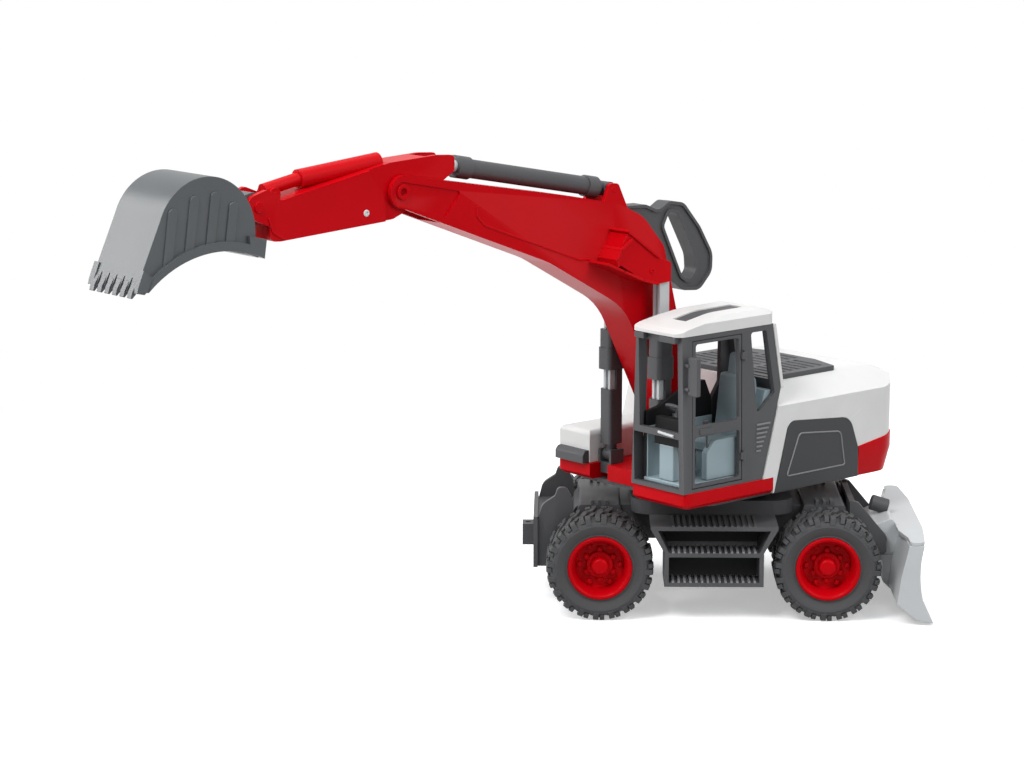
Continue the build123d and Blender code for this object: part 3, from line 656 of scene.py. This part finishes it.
def step_pieces():
    """Backs of the step boxes in black as painted shade, and the ribs of their treads in a paler grey as a
    painted highlight.
    """
    ribs = []
    for z in (STEP_LOW, STEP_MID):
        for k in range(STEP_RIBS):
            x = (k - STEP_RIBS // 2) * RIB_PITCH
            ribs.append(block((x - RIB_HALF, x + RIB_HALF), (STEP_IN, STEP_OUT), (z - 0.3, z + 1.0)))
    ribs = joined(*ribs)
    upper_back = slab([(-37, 63), (37, 63), (31, 49), (-31, 49)], *STEP_BACK)
    lower_back = slab([(-31, 45), (31, 45), (31, 24), (-31, 24)], *STEP_BACK)
    backs = joined(upper_back, lower_back)
    for side, tag in SIDES:
        # Tread ribs in a paler grey: a painted highlight on their lit front edges
        piece("step_ribs_" + tag, flipped(ribs, side), "dark", "undercarriage", 0.3, finish="highlight_grey")
        # Black backs: painted shade inside the step boxes
        piece("step_backs_" + tag, flipped(backs, side), "dark", "undercarriage", finish="shade_black")


# Upper half, drawn straight ahead and turned by the slew angle

def upper_piece(name, form, slot, *nodes_replaced, edge=0.5, finish=None, body="upper"):
    made = piece(name, moved(form, upper), slot, body, edge, finish=finish)
    if nodes_replaced:
        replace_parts(made, *nodes_replaced)


def tail_outline(grow):
    half = UPPER_HALF + grow
    rear = TAIL_X - grow
    corner = TAIL_CORNER_R + grow
    return rounded([(40, -half), (40, half), (rear, half), (rear, -half)], [0, 0, corner, corner])


def weight_region():
    return slab([(-73, 70), (-73, 108), (-130, 116.05), (-130, 70)], -90, 90)


def panel_outline(grow):
    low = FRAME_LOW - 0.4
    return [(11 + grow, low), (-2.4 + grow, 135.5 + grow), (-64 - grow, 130 + grow), (-72.8 - grow, 107),
            (-72.8 - grow, low)]


def hood_form():
    plan = spread(tail_outline(0), 2, FRAME_LOW, ABOVE_HOOD)
    shoulders = spread([(-100, 60), (-100, 132.8), (0, 187.36), (100, 132.8), (100, 60)], 0, -140, 60)
    rear = TAIL_X - 0.02
    side = [(4.9, HOOD_TOP), (4.9, 158.5), (21.7, FRAME_TOP), (12, FRAME_TOP), (12, 80), (rear, 80),
            (rear, HOOD_TOP)]
    body = common(plan, shoulders, slab(side, -100, 100, [0, 0, 0, 0, 0, 0, 13]))
    recess = slab(panel_outline(0.2), UPPER_HALF - PANEL_DEEP, UPPER_HALF + 2, PANEL_RADII)
    bay = block((-4, 50), (BAY_RIGHT, BAY_LEFT), (FRAME_TOP, ABOVE_HOOD))
    return cut(body, bay, weight_region(), both_sides(recess))


def weight_form():
    levels = ((WEIGHT_PROUD - WEIGHT_TAPER, 85.5), (WEIGHT_PROUD, 103), (WEIGHT_PROUD, 140))
    rings = [[(*spot, z) for spot in tail_outline(grow)] for grow, z in levels]
    return common(lofted(rings), weight_region())


def sill_form():
    rings = []
    for inset, z in ((SILL_CHAMFER, FRAME_LOW), (0, FRAME_LOW + SILL_CHAMFER), (0, FRAME_TOP)):
        half = UPPER_HALF - inset
        outline = [(95 - inset, half), (95 - inset, BAY_LEFT + inset), (78 - inset, BAY_LEFT + inset),
                   (78 - inset, -half), (12, -half), (12, half)]
        rings.append([(*spot, z) for spot in rounded(outline, [4, 0, 0, 4, 0, 0])])
    through = (FRAME_LOW - 7, FRAME_TOP + 2)
    front = block((71.5, 90), (CYL_FEET[0], BAY_LEFT - 0.2), through)
    slots = [block((57, 90), (y - FOOT_SLOT_HALF, y + FOOT_SLOT_HALF), through) for y in CYL_FEET]
    return cut(lofted(rings), front, *slots)


def foot_form():
    """Legs of the boom cylinders' feet, in the slots of the deck."""
    side = [(58, FRAME_LOW + 1), (58, FRAME_TOP), (69, FRAME_TOP), (69, FRAME_LOW + 4)]
    return joined(*[slab(side, y - FOOT_LEG_HALF, y + FOOT_LEG_HALF) for y in CYL_FEET])


def grille_form():
    outline = [(GRILLE_REAR, -25), (GRILLE_REAR, 25), (-72, 51), (-6, 51), (-6, -51), (-72, -51)]
    slots = []
    for k in range(VENTS):
        x = GRILLE_REAR + (k + 1) * VENT_PITCH
        for y in (-VENT_ROW, 0, VENT_ROW):
            if x > -70 or y == 0:
                slots.append(block((x - 2, x + 2), (y - 13, y + 13), (HOOD_TOP + 2.6, HOOD_TOP + 5)))
    return cut(plan_slab(outline, HOOD_TOP, HOOD_TOP + GRILLE_HIGH, 2), joined(*slots))


def tank_form():
    side = [(22, FRAME_TOP), (15.7, TANK_TOP), (76, TANK_TOP), (76, FRAME_TOP)]
    front = [(-UPPER_HALF, 90), (-UPPER_HALF, TANK_TOP), (BAY_RIGHT, TANK_TOP), (BAY_RIGHT, 90)]
    return common(slab(side, -90, -20, [0, 0, 4, 0]), spread(rounded(front, [0, 4, 4, 0]), 0, 0, 100))


def tail_pieces():
    upper_piece("engine_hood", hood_form(), "white", "hood", edge=0.7)
    upper_piece("tail_weight", weight_form(), "red", "counterweight", edge=0.6)
    upper_piece("sill", sill_form(), "red", "upper_frame", edge=0.4)
    upper_piece("foot_legs", foot_form(), "dark", edge=0.4)
    upper_piece("hood_vents", grille_form(), "dark", "hood_grille", edge=0.4)
    upper_piece("tank", tank_form(), "white", "tank_box", edge=0.4)
    lamp = slab([(76, 98), (76, 107), (79.5, 107), (82, 104), (82, 98)], -72, -43, [0, 0, 2, 2, 0])
    upper_piece("lamp_block", lamp, "dark", "front_lamps")


def panel_pieces():
    outside = UPPER_HALF + PANEL_PROUD
    panel = slab(panel_outline(0), UPPER_HALF - PANEL_DEEP, outside, PANEL_RADII)
    line = rounded([(-0.4, 97), (-12.5, 125.7), (-54, 121.5), (-58.7, 97)], [1.5, 4, 5, 1.5])
    for side, tag in SIDES:
        upper_piece("side_panel_" + tag, flipped(panel, side), "dark", "engine_panel_" + tag, edge=0.4,
                    finish="panel")
        path = [(x, side * outside, z) for x, z in line]
        # Raised line in a paler grey: a painted highlight along its lit top
        upper_piece("panel_line_" + tag, tube(path, 0.55, 8, True), "dark", edge=0, finish="highlight_grey")


# Cab, in the directions of the upper half

def roof_form():
    rear, front = ROOF_X
    right, left = ROOF_Y
    plan = plan_slab([(front, left), (front, right), (rear, right), (rear, left)], ROOF_LOW, 230, 6)
    side = [(rear - ROOF_OVER, 200), (rear - ROOF_OVER, 213), (20, ROOF_TOP), (60, 215.5), (95, 209.5),
            (front + ROOF_OVER, 207), (front + ROOF_OVER, 200)]
    crown = ROOF_TOP + ROOF_OVER
    across = [(right - ROOF_OVER, 200), (right - ROOF_OVER, 212), (right + 3.9, crown), (left - 3.9, crown),
              (left + ROOF_OVER, 212), (left + ROOF_OVER, 200)]
    return common(plan, slab(side, 0, 100, [0, 2, 6, 60, 10, 0, 0]), spread(across, 0, 0, 120))


def hatch_block(inset):
    spans = [(low + inset, high - inset) for low, high in (HATCH_X, HATCH_Y)]
    return block(*spans, (208, 222))


def lowered(form, depth):
    return moved(form, Matrix.Translation((0, 0, -depth)))


def roof_pieces():
    shell = roof_form()
    seat = lowered(shell, HATCH_DEEP)
    pocket = cut(hatch_block(0), seat)
    upper_piece("roof", cut(shell, pocket), "white", "cab_roof")
    plate = common(cut(hatch_block(0.2), seat), lowered(shell, 0.8))
    upper_piece("hatch", plate, "dark", edge=0.2)


def door_form():
    leaf = slab([(42, 101), (44, 201), (89.5, 201), (88.5, 101)], DOOR_INSIDE, DOOR_OUTSIDE)
    upper_light = slab([(44.8, 143), (46.4, 198.8), (86.6, 198.8), (86.2, 143)], *DOOR_CUT, 2)
    lower_light = slab([(44.3, 103.2), (44.6, 135.5), (86.2, 135.5), (86.2, 103.2)], *DOOR_CUT, 2)
    x, y = DOOR_AXIS
    hinges = []
    for z in HINGES_Z:
        hinges.append(tube([(x, y, z), (x, y, z + 7)], 1.2))
        hinges.append(block((x, x + 3), (DOOR_OUTSIDE + 0.2, y + 0.8), (z + 1, z + 6)))
        hinges.append(block((x + 1, x + 3), (DOOR_OUTSIDE - 0.5, y), (z + 1, z + 6)))
    return joined(cut(leaf, upper_light, lower_light), *hinges)


def louvre_form():
    slats = []
    for k in range(LOUVRES):
        share = k / (LOUVRES - 1)
        z = 136.7 - 18.2 * share
        slats.append(block((15.5 + 9 * share, 28.5), (72.5, 73.9), (z - 0.6, z + 0.6)))
    return joined(*slats)


def mirror_form():
    bars = [block((92.5, 97.5), (72, 77), (z - 1.2, z + 1.2)) for z in (170, 186)]
    return joined(block((93, 96.5), (75.5, 84.5), (166, 192)), *bars)


def back_form():
    top = ROOF_LOW - 0.2
    low = HOOD_TOP + 0.6
    back = slab([(14, top), (5.2, low), (2.6, low), (11.4, top)], 29.5, ROOF_Y[1])
    return cut(back, block((-10, 30), (35, 66), (164, 200)))


def cab_details():
    # Louvre slats in a paler grey: a painted highlight on their lit edges
    upper_piece("louvres", louvre_form(), "dark", edge=0.2, finish="highlight_grey")
    upper_piece("mirror", mirror_form(), "dark", edge=0.8)
    for y_span, tag in (((55, 70), "left"), ((31, 40), "right")):
        upper_piece("roof_lamp_" + tag, block((98, 103.5), y_span, (200.5, 204.7)), "dark")
    handle = slab([(70.5, 136.5), (70.5, 141), (82.5, 141), (82.5, 136.5)], DOOR_OUTSIDE - 1,
                  DOOR_OUTSIDE + 0.8, 1.5)
    upper_piece("door_handle", handle, "dark", edge=0.4, body="door")
    upper_piece("door_leaf", door_form(), "dark", "door", edge=0.4, body="door")
    upper_piece("cab_back", back_form(), "white", edge=0.4)
    bar = tube([(97.2, 49, 137.6), (97.6, 64, 136.6)], 1.1)
    stem = tube([(95, 61, 137), (97.6, 61, 137)], 1.1)
    upper_piece("front_bar", joined(bar, stem), "light", edge=0)


def seat_pieces():
    plate = block((26, 91), (28, 68), (FRAME_TOP + 2, CAB_FLOOR))
    stand = block((30, 52), (38, 58), (CAB_FLOOR - 1, 119))
    cushion = slab([(26, 118), (26, 126), (51, 126), (54, 124), (54, 118)], *SEAT_Y, [0, 0, 3, 2, 0])
    back = slab([(23, 122), (33, 124), (27, 168), (17, 168), (15, 150)], *SEAT_Y, [0, 0, 3, 5, 3])
    head = slab([(19, 160), (26, 160), (23, 182), (17, 182)], 41, 56, [0, 0, 3, 3])
    console = slab([(36, CAB_FLOOR), (36, 130), (62, 130), (70, 122), (70, CAB_FLOOR)], 62, 68,
                   [0, 2, 4, 4, 0])
    column = slab([(82, CAB_FLOOR), (86, 128), (90, 128), (90, CAB_FLOOR)], 42, 56, [0, 2, 2, 0])
    inside = joined(plate, stand, cushion, back, head, console, column)
    upper_piece("seat_and_floor", inside, "pale", "cab_interior", edge=1.0)
    shelf = slab([(25.8, CAB_FLOOR), (10.4, 158.5), (16, 158.5), (28, 122), (28, CAB_FLOOR)], 33, 69)
    board = block((30, 91), (31, 32), (CAB_FLOOR - 1, 138))
    upper_piece("cab_lining", joined(board, shelf), "pale")
    wall_top = [(30, 150), (36, 163), (50, 162), (66, 156), (80, 150), (91, 148)]
    wall = slab([(30, CAB_FLOOR), *wall_top, (91, CAB_FLOOR)], 27.6, 31)
    # Right wall of the cab in black: painted shade on the inside of the wall
    upper_piece("cab_right_wall", wall, "dark", finish="shade_black")


def steering_spot(radius, angle):
    """A spot on a circle round the steering wheel's hub that leans back with the wheel."""
    reach = Vector((radius * math.cos(angle), radius * math.sin(angle), 0))
    return Vector(STEERING_HUB) + Matrix.Rotation(STEERING_LEAN, 3, "Y") @ reach


def steering_form():
    hub = Vector(STEERING_HUB)
    ring = [steering_spot(STEERING_R, 2 * math.pi * k / STEERING_STEPS) for k in range(STEERING_STEPS)]
    spokes = []
    for degrees in (90, 210, 330):
        spokes.append(tube([hub, steering_spot(STEERING_R - 0.5, math.radians(degrees))], 0.8, 8))
    stem = tube([hub + Vector((0.5, 0, 1)), (84.5, 49.0, 134.0)], 2.0)
    return joined(tube(ring, 1.3, 10, True), *spokes, stem)


def control_pieces():
    upper_piece("steering_wheel", steering_form(), "dark", edge=0)
    dash = slab([(80, 127), (79, 140), (83, 146), (89, 146), (90, 127)], 37, 61)
    # Dashboard in black: painted shade inside the cab
    upper_piece("dashboard", dash, "dark", edge=0.8, finish="shade_black")
    for y, tag in ((35.0, "right"), (64.5, "left")):
        rod = tube([(66, y, 122), (68, y, 139)], 0.9, 10)
        knob = tube([(67.7, y, 136), (68.6, y, 144)], 2.0)
        upper_piece("lever_" + tag, joined(rod, knob), "dark", edge=0.5)


# Arm, drawn straight ahead about its middle plane

def arm_piece(name, form, slot, body, *nodes_replaced, edge=0.5, finish=None):
    place = upper @ Matrix.Translation((0, ARM_Y, 0))
    made = piece(name, moved(form, place), slot, body, edge, finish=finish)
    if nodes_replaced:
        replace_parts(made, *nodes_replaced)


def boom_outline():
    x, z = STICK_PIVOT
    corners = [(10.8, 108), (50.5, 254), (70, 276), (92, 286.5), (140, 296.2), (x - 2, z + 10.3),
               (x + 3, z - 9.5), (156, 253), (87, 215), (31.2, 108)]
    return corners, [0, 14, 30, 60, 250, 0, 0, 60, 50, 0]


def cover_form():
    outline = [(60, 232.5), (60, 246), (70, 249), (100, 270), (107.5, 258), (110.5, 250), (88, 237),
               (72, 232)]
    cover = slab(outline, BOOM_HALF - 1, COVER_SIDE, [1, 2, 3, 2, 2, 2, 8, 4])
    x, z = BOOM_CYL_PIN
    y = BOOM_CYL_SIDE
    cover = cut(cover, block((x - 8.5, x + 8.5), (y - 4.7, y + 4.7), (z - 12, z + 8)))
    top = [(101.3, 270.6), (72.4, 250.4)]
    front = [(97.7, 264.5), (107.3, 258.3), (111.1, 252.2), (109.8, 248.2)]
    low = [(119.4, 250.1), (104.5, 243.8), (86.8, 236.2), (73.5, 232.3)]
    ridges = [ridge(path, BOOM_HALF - 1, COVER_SIDE + 1.6, 1.6) for path in (top, front, low)]
    return joined(cover, *ridges)


def boom_form():
    corners, radii = boom_outline()
    ends = [cross_pin(pivot, BOOM_END_R, -BOOM_HALF, BOOM_HALF) for pivot in (BOOM_FOOT, STICK_PIVOT)]
    whole = fused(slab(corners, -BOOM_HALF, BOOM_HALF, radii), *ends)
    fork = slab([(237, 338), (237, 304), (255, 274), (311, 274), (311, 338)], -10.8, 10.8)
    recess = slab(HEAD_OUTLINE, BOOM_HALF - 1, BOOM_HALF + 1, [2, 3, 3, 3, 3, 2])
    return cut(whole, fork, both_sides(recess), cross_pin(BOOM_FOOT, ARM_BORE_R, -20, 20))


def boom_fittings():
    boss = cross_pin(STICK_PIVOT, 5.0, 12, BOOM_HALF + 0.4)
    boss = cut(boss, cross_pin(STICK_PIVOT, 2.5, BOOM_HALF - 1, 20))
    ear = slab([(79, 277), (90.5, 300), (98.5, 300.5), (105, 285)], 7.9, 10.9, [0, 3, 3, 0])
    line = ridge(BOOM_LINE, BOOM_HALF - 0.5, BOOM_HALF + 0.6, 1.2)
    stick_pin = cross_pin(STICK_PIVOT, 3.5, -11, 11)
    ear_pin = cross_pin((95, 296), 2.0, -11.2, 11.2)
    return joined(both_sides(joined(boss, ear, line)), stick_pin, ear_pin)


def grip_form():
    outer = rounded([(78, 283), (60, 282.5), (48, 277.5), (38, 283), (24, 281), (8, 263), (-4.5, 243),
                     (-4, 230), (8, 218), (24, 219.5), (38, 229), (60, 245), (78, 270)],
                    [0, 8, 8, 6, 10, 20, 14, 10, 10, 8, 0, 0, 0])
    hole = rounded([(38, 275.5), (30, 274), (12.5, 243), (11.5, 232), (18, 225.5), (25, 230), (43, 266)],
                   [3, 6, 14, 6, 5, 5, 4])
    loop = cut(spread(outer, 1, -6, 6), spread(hole, 1, -8, 8))
    web = cut(spread(grown(outer, -2.2), 1, 4.5, 8), spread(grown(hole, 2.2), 1, 3, 9))
    return cut(loop, both_sides(web))


def boom_pieces():
    arm_piece("boom_body", boom_form(), "red", "boom", "boom", edge=0.8)
    arm_piece("boom_fittings", boom_fittings(), "red", "boom", edge=0.3)
    arm_piece("boom_covers", both_sides(cover_form()), "red", "boom", edge=0.4)
    arm_piece("grip", grip_form(), "dark", "boom", "grip_handle", edge=0.6)


def bucket_curve(inset):
    """The bucket's back as an arc, and the tip of its lip."""
    cx, cz = BUCKET_CENTRE
    r = BUCKET_R - inset
    spots = []
    for degrees in (185, 100, 20):
        angle = math.radians(degrees)
        spots.append((cx + r * math.cos(angle), cz + r * math.sin(angle)))
    return arc(*spots, steps=48), Vector((cx + 52.5 - 0.91 * inset, cz - 29.4 - 0.42 * inset))


def bucket_outline():
    cx, cz = BUCKET_CENTRE
    curve, lip = bucket_curve(0)
    return curve + [lip] + arc((cx + 45.5, cz - 31), BUCKET_MOUTH, (cx - 37.5, cz - 17))


def on_lip(form):
    """A form drawn about the lip's tip, put there with the lip's lean."""
    lip = bucket_curve(0)[1]
    return moved(form, Matrix.Translation((lip.x, 0, lip.y)) @ Matrix.Rotation(LIP_LEAN, 4, "Y"))


def bucket_shell():
    x, z = BUCKET_PIVOT
    corners = [(x - 7.4, z - 6), (x - 7.4, z + 6), (x + 1.6, z + 9), (x + 19.6, z + 5), (x + 15.6, z - 12)]
    ear = slab(corners, -9, 9, [5, 5, 5, 0, 0])
    whole = fused(spread(bucket_outline(), 1, -BUCKET_HALF, BUCKET_HALF), ear)
    curve, tip = bucket_curve(BUCKET_WALL)
    below = BUCKET_CENTRE[1] - 50
    inner = curve + [tip, Vector((tip.x, below)), Vector((curve[0].x - 2, below))]
    inner_half = BUCKET_HALF - BUCKET_WALL
    hollow = spread(inner, 1, -inner_half, inner_half)
    notches = []
    for k in range(TEETH - 1):
        y = (k + 1) * TOOTH_PITCH - BUCKET_HALF
        notch = [(y - 1.9, -6), (y + 1.9, -6), (y + 0.3, 9), (y - 0.3, 9)]
        notches.append(on_lip(spread(notch, 0, -8, 6)))
    return cut(whole, hollow, cross_pin(BUCKET_PIVOT, ARM_BORE_R, -12, 12), *notches)


def bucket_ribs():
    cx, cz = BUCKET_CENTRE
    side = spread(bucket_outline(), 1, 0, 30)
    half = BUCKET_RIB_HALF
    foot = cz - 20
    ribs = []
    for dx, dz in RIB_TOPS:
        x = cx + dx
        top = cz + dz + half
        lean = 0.16 * (dz + 20)
        corners = [(x - half, top), (x + half, top), (x + half + lean, foot), (x - half + lean, foot)]
        ribs.append(common(slab(corners, 23.5, 25.2, [3.2, 3.2, 0, 0]), side))
    return both_sides(joined(*ribs))


def bucket_rims():
    """A thicker band along each side of the mouth, up to the corner of the lip."""
    cx, cz = BUCKET_CENTRE
    lip = bucket_curve(0)[1]
    band = arc((cx + 44.5, cz - 29.5), BUCKET_MOUTH, (cx - 40, cz - 17.4))
    band += [(cx - 41.8, cz - 5.8), (cx - 29, cz - 2.7)]
    band += arc((cx - 29.5, cz - 7.7), (cx + 4.5, cz - 5.2), (cx + 40.9, cz - 21.4))
    corner = [(cx + 47.3, cz - 16), (cx + 40.7, cz - 21.6), (cx + 44.5, cz - 29.5), lip,
              (cx + 51.5, cz - 25.8)]
    return both_sides(fused(spread(band, 1, 21.6, 26.8), slab(corner, 21, 26.2)))


def bucket_teeth():
    outline = [(-2.2, 7), (0.1, 7), (0.9, 0.5), (0.4, -3.4), (-0.8, -3.4), (-2.2, 0)]
    teeth = []
    for k in range(TEETH):
        y = (k + 0.5) * TOOTH_PITCH - BUCKET_HALF
        teeth.append(on_lip(slab(outline, y - TOOTH_HALF, y + TOOTH_HALF)))
    return joined(*teeth)


def bucket_pieces():
    arm_piece("bucket_shell", bucket_shell(), "bucket_grey", "bucket", "bucket", edge=0.6)
    arm_piece("bucket_ribs", bucket_ribs(), "bucket_grey", "bucket", edge=0.6)
    arm_piece("bucket_rims", bucket_rims(), "bucket_grey", "bucket", edge=0.8)
    arm_piece("bucket_teeth", bucket_teeth(), "bucket_grey", "bucket", edge=0.3)


def stick_pieces():
    caps = cross_pin(BUCKET_PIVOT, 3.4, STICK_HALF - 1, STICK_HALF + 1)
    line = ridge([(384, 302), (381, 293.5), (372.4, 288.6)], STICK_HALF - 0.5, STICK_HALF + 0.7, 1.3)
    boss = cross_pin(STICK_BOSS, 4.2, 4, 7)
    pin = cross_pin(STICK_BOSS, 1.9, 6, 7.8)
    arm_piece("stick_fittings", both_sides(joined(caps, line, boss, pin)), "red", "stick", edge=0.3)


def barrel_form():
    x, z = BOOM_CYL_FOOT
    y = BOOM_CYL_SIDE
    eye = cross_pin((x, z), 4.8, y - 4, y + 4)
    neck = tube([(x, y, z), (x, y, z + 8.2)], 3.9, 32)
    whole = fused(post((12.5, 11), x, y, z + 8, 165.2, 2), post((15.5, 13), x, y, 165, 180.2, 3),
                  post((14, 12), x, y, 180, 193, 3), eye, neck)
    hollow = post((9.6, 7.6), x, y, z + 12, 200)
    opening = block((x + 0.4, x + 12), (y - 10, y + 10), (151, 165))
    return cut(whole, hollow, opening, cross_pin((x, z), CYL_BORE_R, y - 8, y + 8))


def rod_form():
    x = BOOM_CYL_FOOT[0]
    y = BOOM_CYL_SIDE
    groove = block((x + 2.3, x + 6), (y - 1.1, y + 1.1), (140, 245))
    return cut(post((9, 7), x, y, 142, 241), groove)


def cylinder_pieces():
    barrel = barrel_form()
    rod = rod_form()
    for side, tag in SIDES:
        body = "boom_barrel_" + tag
        arm_piece("boom_cylinder_" + tag, flipped(barrel, side), "dark", body, body, edge=0.5)
        body = "boom_rod_" + tag
        arm_piece("boom_piston_" + tag, flipped(rod, side), "light", body, body, edge=0.4)


def screw(centre, y, side):
    """A screw head that faces sideways, with its recess."""
    profile = [(-1.0, 0.0), (-1.0, SCREW_R), (0.35, SCREW_R), (0.7, SCREW_R - 0.4), (0.7, SCREW_R * 0.5),
               (0.1, SCREW_R * 0.42), (0.1, 0.0)]
    turn = Matrix.Identity(4) if side > 0 else Matrix.Rotation(math.pi, 4, "Z")
    x, z = centre
    return moved(turned_form(profile, 24), Matrix.Translation((x, side * y, z)) @ turn)


def screw_pieces():
    for side, tag in SIDES:
        head = screw(STICK_SCREW, STICK_HALF, side)
        arm_piece("stick_screw_" + tag, head, "light", "stick", edge=0.1, finish="steel")
        head = screw(COVER_SCREW, COVER_SIDE, side)
        arm_piece("cover_screw_" + tag, head, "red", "boom", edge=0.1)


upper = Matrix.Rotation(SLEW, 4, "Z")
wheels()
blade_pieces()
step_pieces()
tail_pieces()
panel_pieces()
roof_pieces()
cab_details()
seat_pieces()
control_pieces()
boom_pieces()
bucket_pieces()
stick_pieces()
cylinder_pieces()
screw_pieces()


# Floor, light and camera

def white_rays(tree):
    """Picks out the rays that see the white background: from the camera, mirrored or let through."""
    path = tree.nodes.new("ShaderNodeLightPath")
    direct = add_math(tree, "MAXIMUM")
    link(tree, path, "Is Camera Ray", direct, 0)
    link(tree, path, "Is Glossy Ray", direct, 1)
    every = add_math(tree, "MAXIMUM")
    link(tree, direct, 0, every, 0)
    link(tree, path, "Is Transmission Ray", every, 1)
    return every


def floor_material():
    """Lit white ground near the machine that runs out into plain white."""
    material = bpy.data.materials.new("pale_floor")
    material.use_nodes = True
    tree = material.node_tree
    shader = tree.nodes["Principled BSDF"]
    shader.inputs["Roughness"].default_value = 0.9
    shader.inputs["Specular IOR Level"].default_value = 0.1
    shader.inputs["Emission Color"].default_value = WHITE
    rays = white_rays(tree)
    shade = add_node(tree, "ShaderNodeMixRGB", Color1=FLOOR_BOUNCE, Color2=FLOOR_SEEN)
    link(tree, rays, 0, shade, "Fac")
    link(tree, shade, "Color", shader, "Base Color")
    level = add_math(tree, "MULTIPLY")
    level.inputs[1].default_value = FLOOR_GLOW
    link(tree, rays, 0, level, 0)
    link(tree, level, 0, shader, "Emission Strength")
    white = add_node(tree, "ShaderNodeEmission", Strength=1.0)
    where = tree.nodes.new("ShaderNodeNewGeometry")
    distance = tree.nodes.new("ShaderNodeVectorMath")
    distance.operation = "LENGTH"
    link(tree, where, "Position", distance, 0)
    far = add_node(tree, "ShaderNodeMapRange", From_Min=FLOOR_FADE[0], From_Max=FLOOR_FADE[1])
    far.interpolation_type = "SMOOTHSTEP"
    link(tree, distance, "Value", far, "Value")
    seen = add_math(tree, "MULTIPLY")
    link(tree, far, "Result", seen, 0)
    link(tree, rays, 0, seen, 1)
    mix = tree.nodes.new("ShaderNodeMixShader")
    link(tree, seen, 0, mix, 0)
    link(tree, shader, 0, mix, 1)
    link(tree, white, 0, mix, 2)
    link(tree, mix, 0, tree.nodes["Material Output"], "Surface")
    return material


def floor():
    bpy.ops.mesh.primitive_plane_add(size=14.0, location=(0, 0, 0))
    plane = bpy.context.object
    plane.name = "floor"
    plane.data.materials.append(floor_material())


def world_light():
    world = bpy.data.worlds.new("studio")
    bpy.context.scene.world = world
    world.use_nodes = True
    tree = world.node_tree
    back = tree.nodes["Background"]
    back.inputs["Color"].default_value = SKY_COLOUR
    ray = tree.nodes.new("ShaderNodeTexCoord")
    height = tree.nodes.new("ShaderNodeSeparateXYZ")
    link(tree, ray, "Generated", height, 0)
    sky = add_node(tree, "ShaderNodeMapRange", From_Min=0.0, From_Max=1.0, To_Min=SKY_LEVELS[0],
                   To_Max=SKY_LEVELS[1])
    link(tree, height, "Z", sky, "Value")
    link(tree, sky, "Result", back, "Strength")
    white = add_node(tree, "ShaderNodeBackground", Color=WHITE, Strength=1.0)
    mix = tree.nodes.new("ShaderNodeMixShader")
    link(tree, white_rays(tree), 0, mix, 0)
    link(tree, back, 0, mix, 1)
    link(tree, white, 0, mix, 2)
    link(tree, mix, 0, tree.nodes["World Output"], "Surface")


def soft_lamp(name, place, target, size, power):
    data = bpy.data.lights.new(name, "AREA")
    data.shape = "DISK"
    data.size = size
    data.energy = power
    lamp = bpy.data.objects.new(name, data)
    lamp.location = place
    lamp.rotation_euler = (Vector(target) - Vector(place)).to_track_quat("-Z", "Y").to_euler()
    bpy.context.scene.collection.objects.link(lamp)


def camera():
    data = bpy.data.cameras.new("camera")
    data.lens = LENS_MM
    data.sensor_width = SENSOR_MM
    data.clip_end = 50.0
    eye = bpy.data.objects.new("camera", data)
    eye.location = CAMERA_AT
    eye.rotation_euler = CAMERA_TURN
    bpy.context.scene.collection.objects.link(eye)
    bpy.context.scene.camera = eye


floor()
world_light()
for lamp_name, lamp in LAMPS.items():
    soft_lamp(lamp_name, *lamp)
camera()
bpy.context.scene.view_settings.view_transform = "Standard"
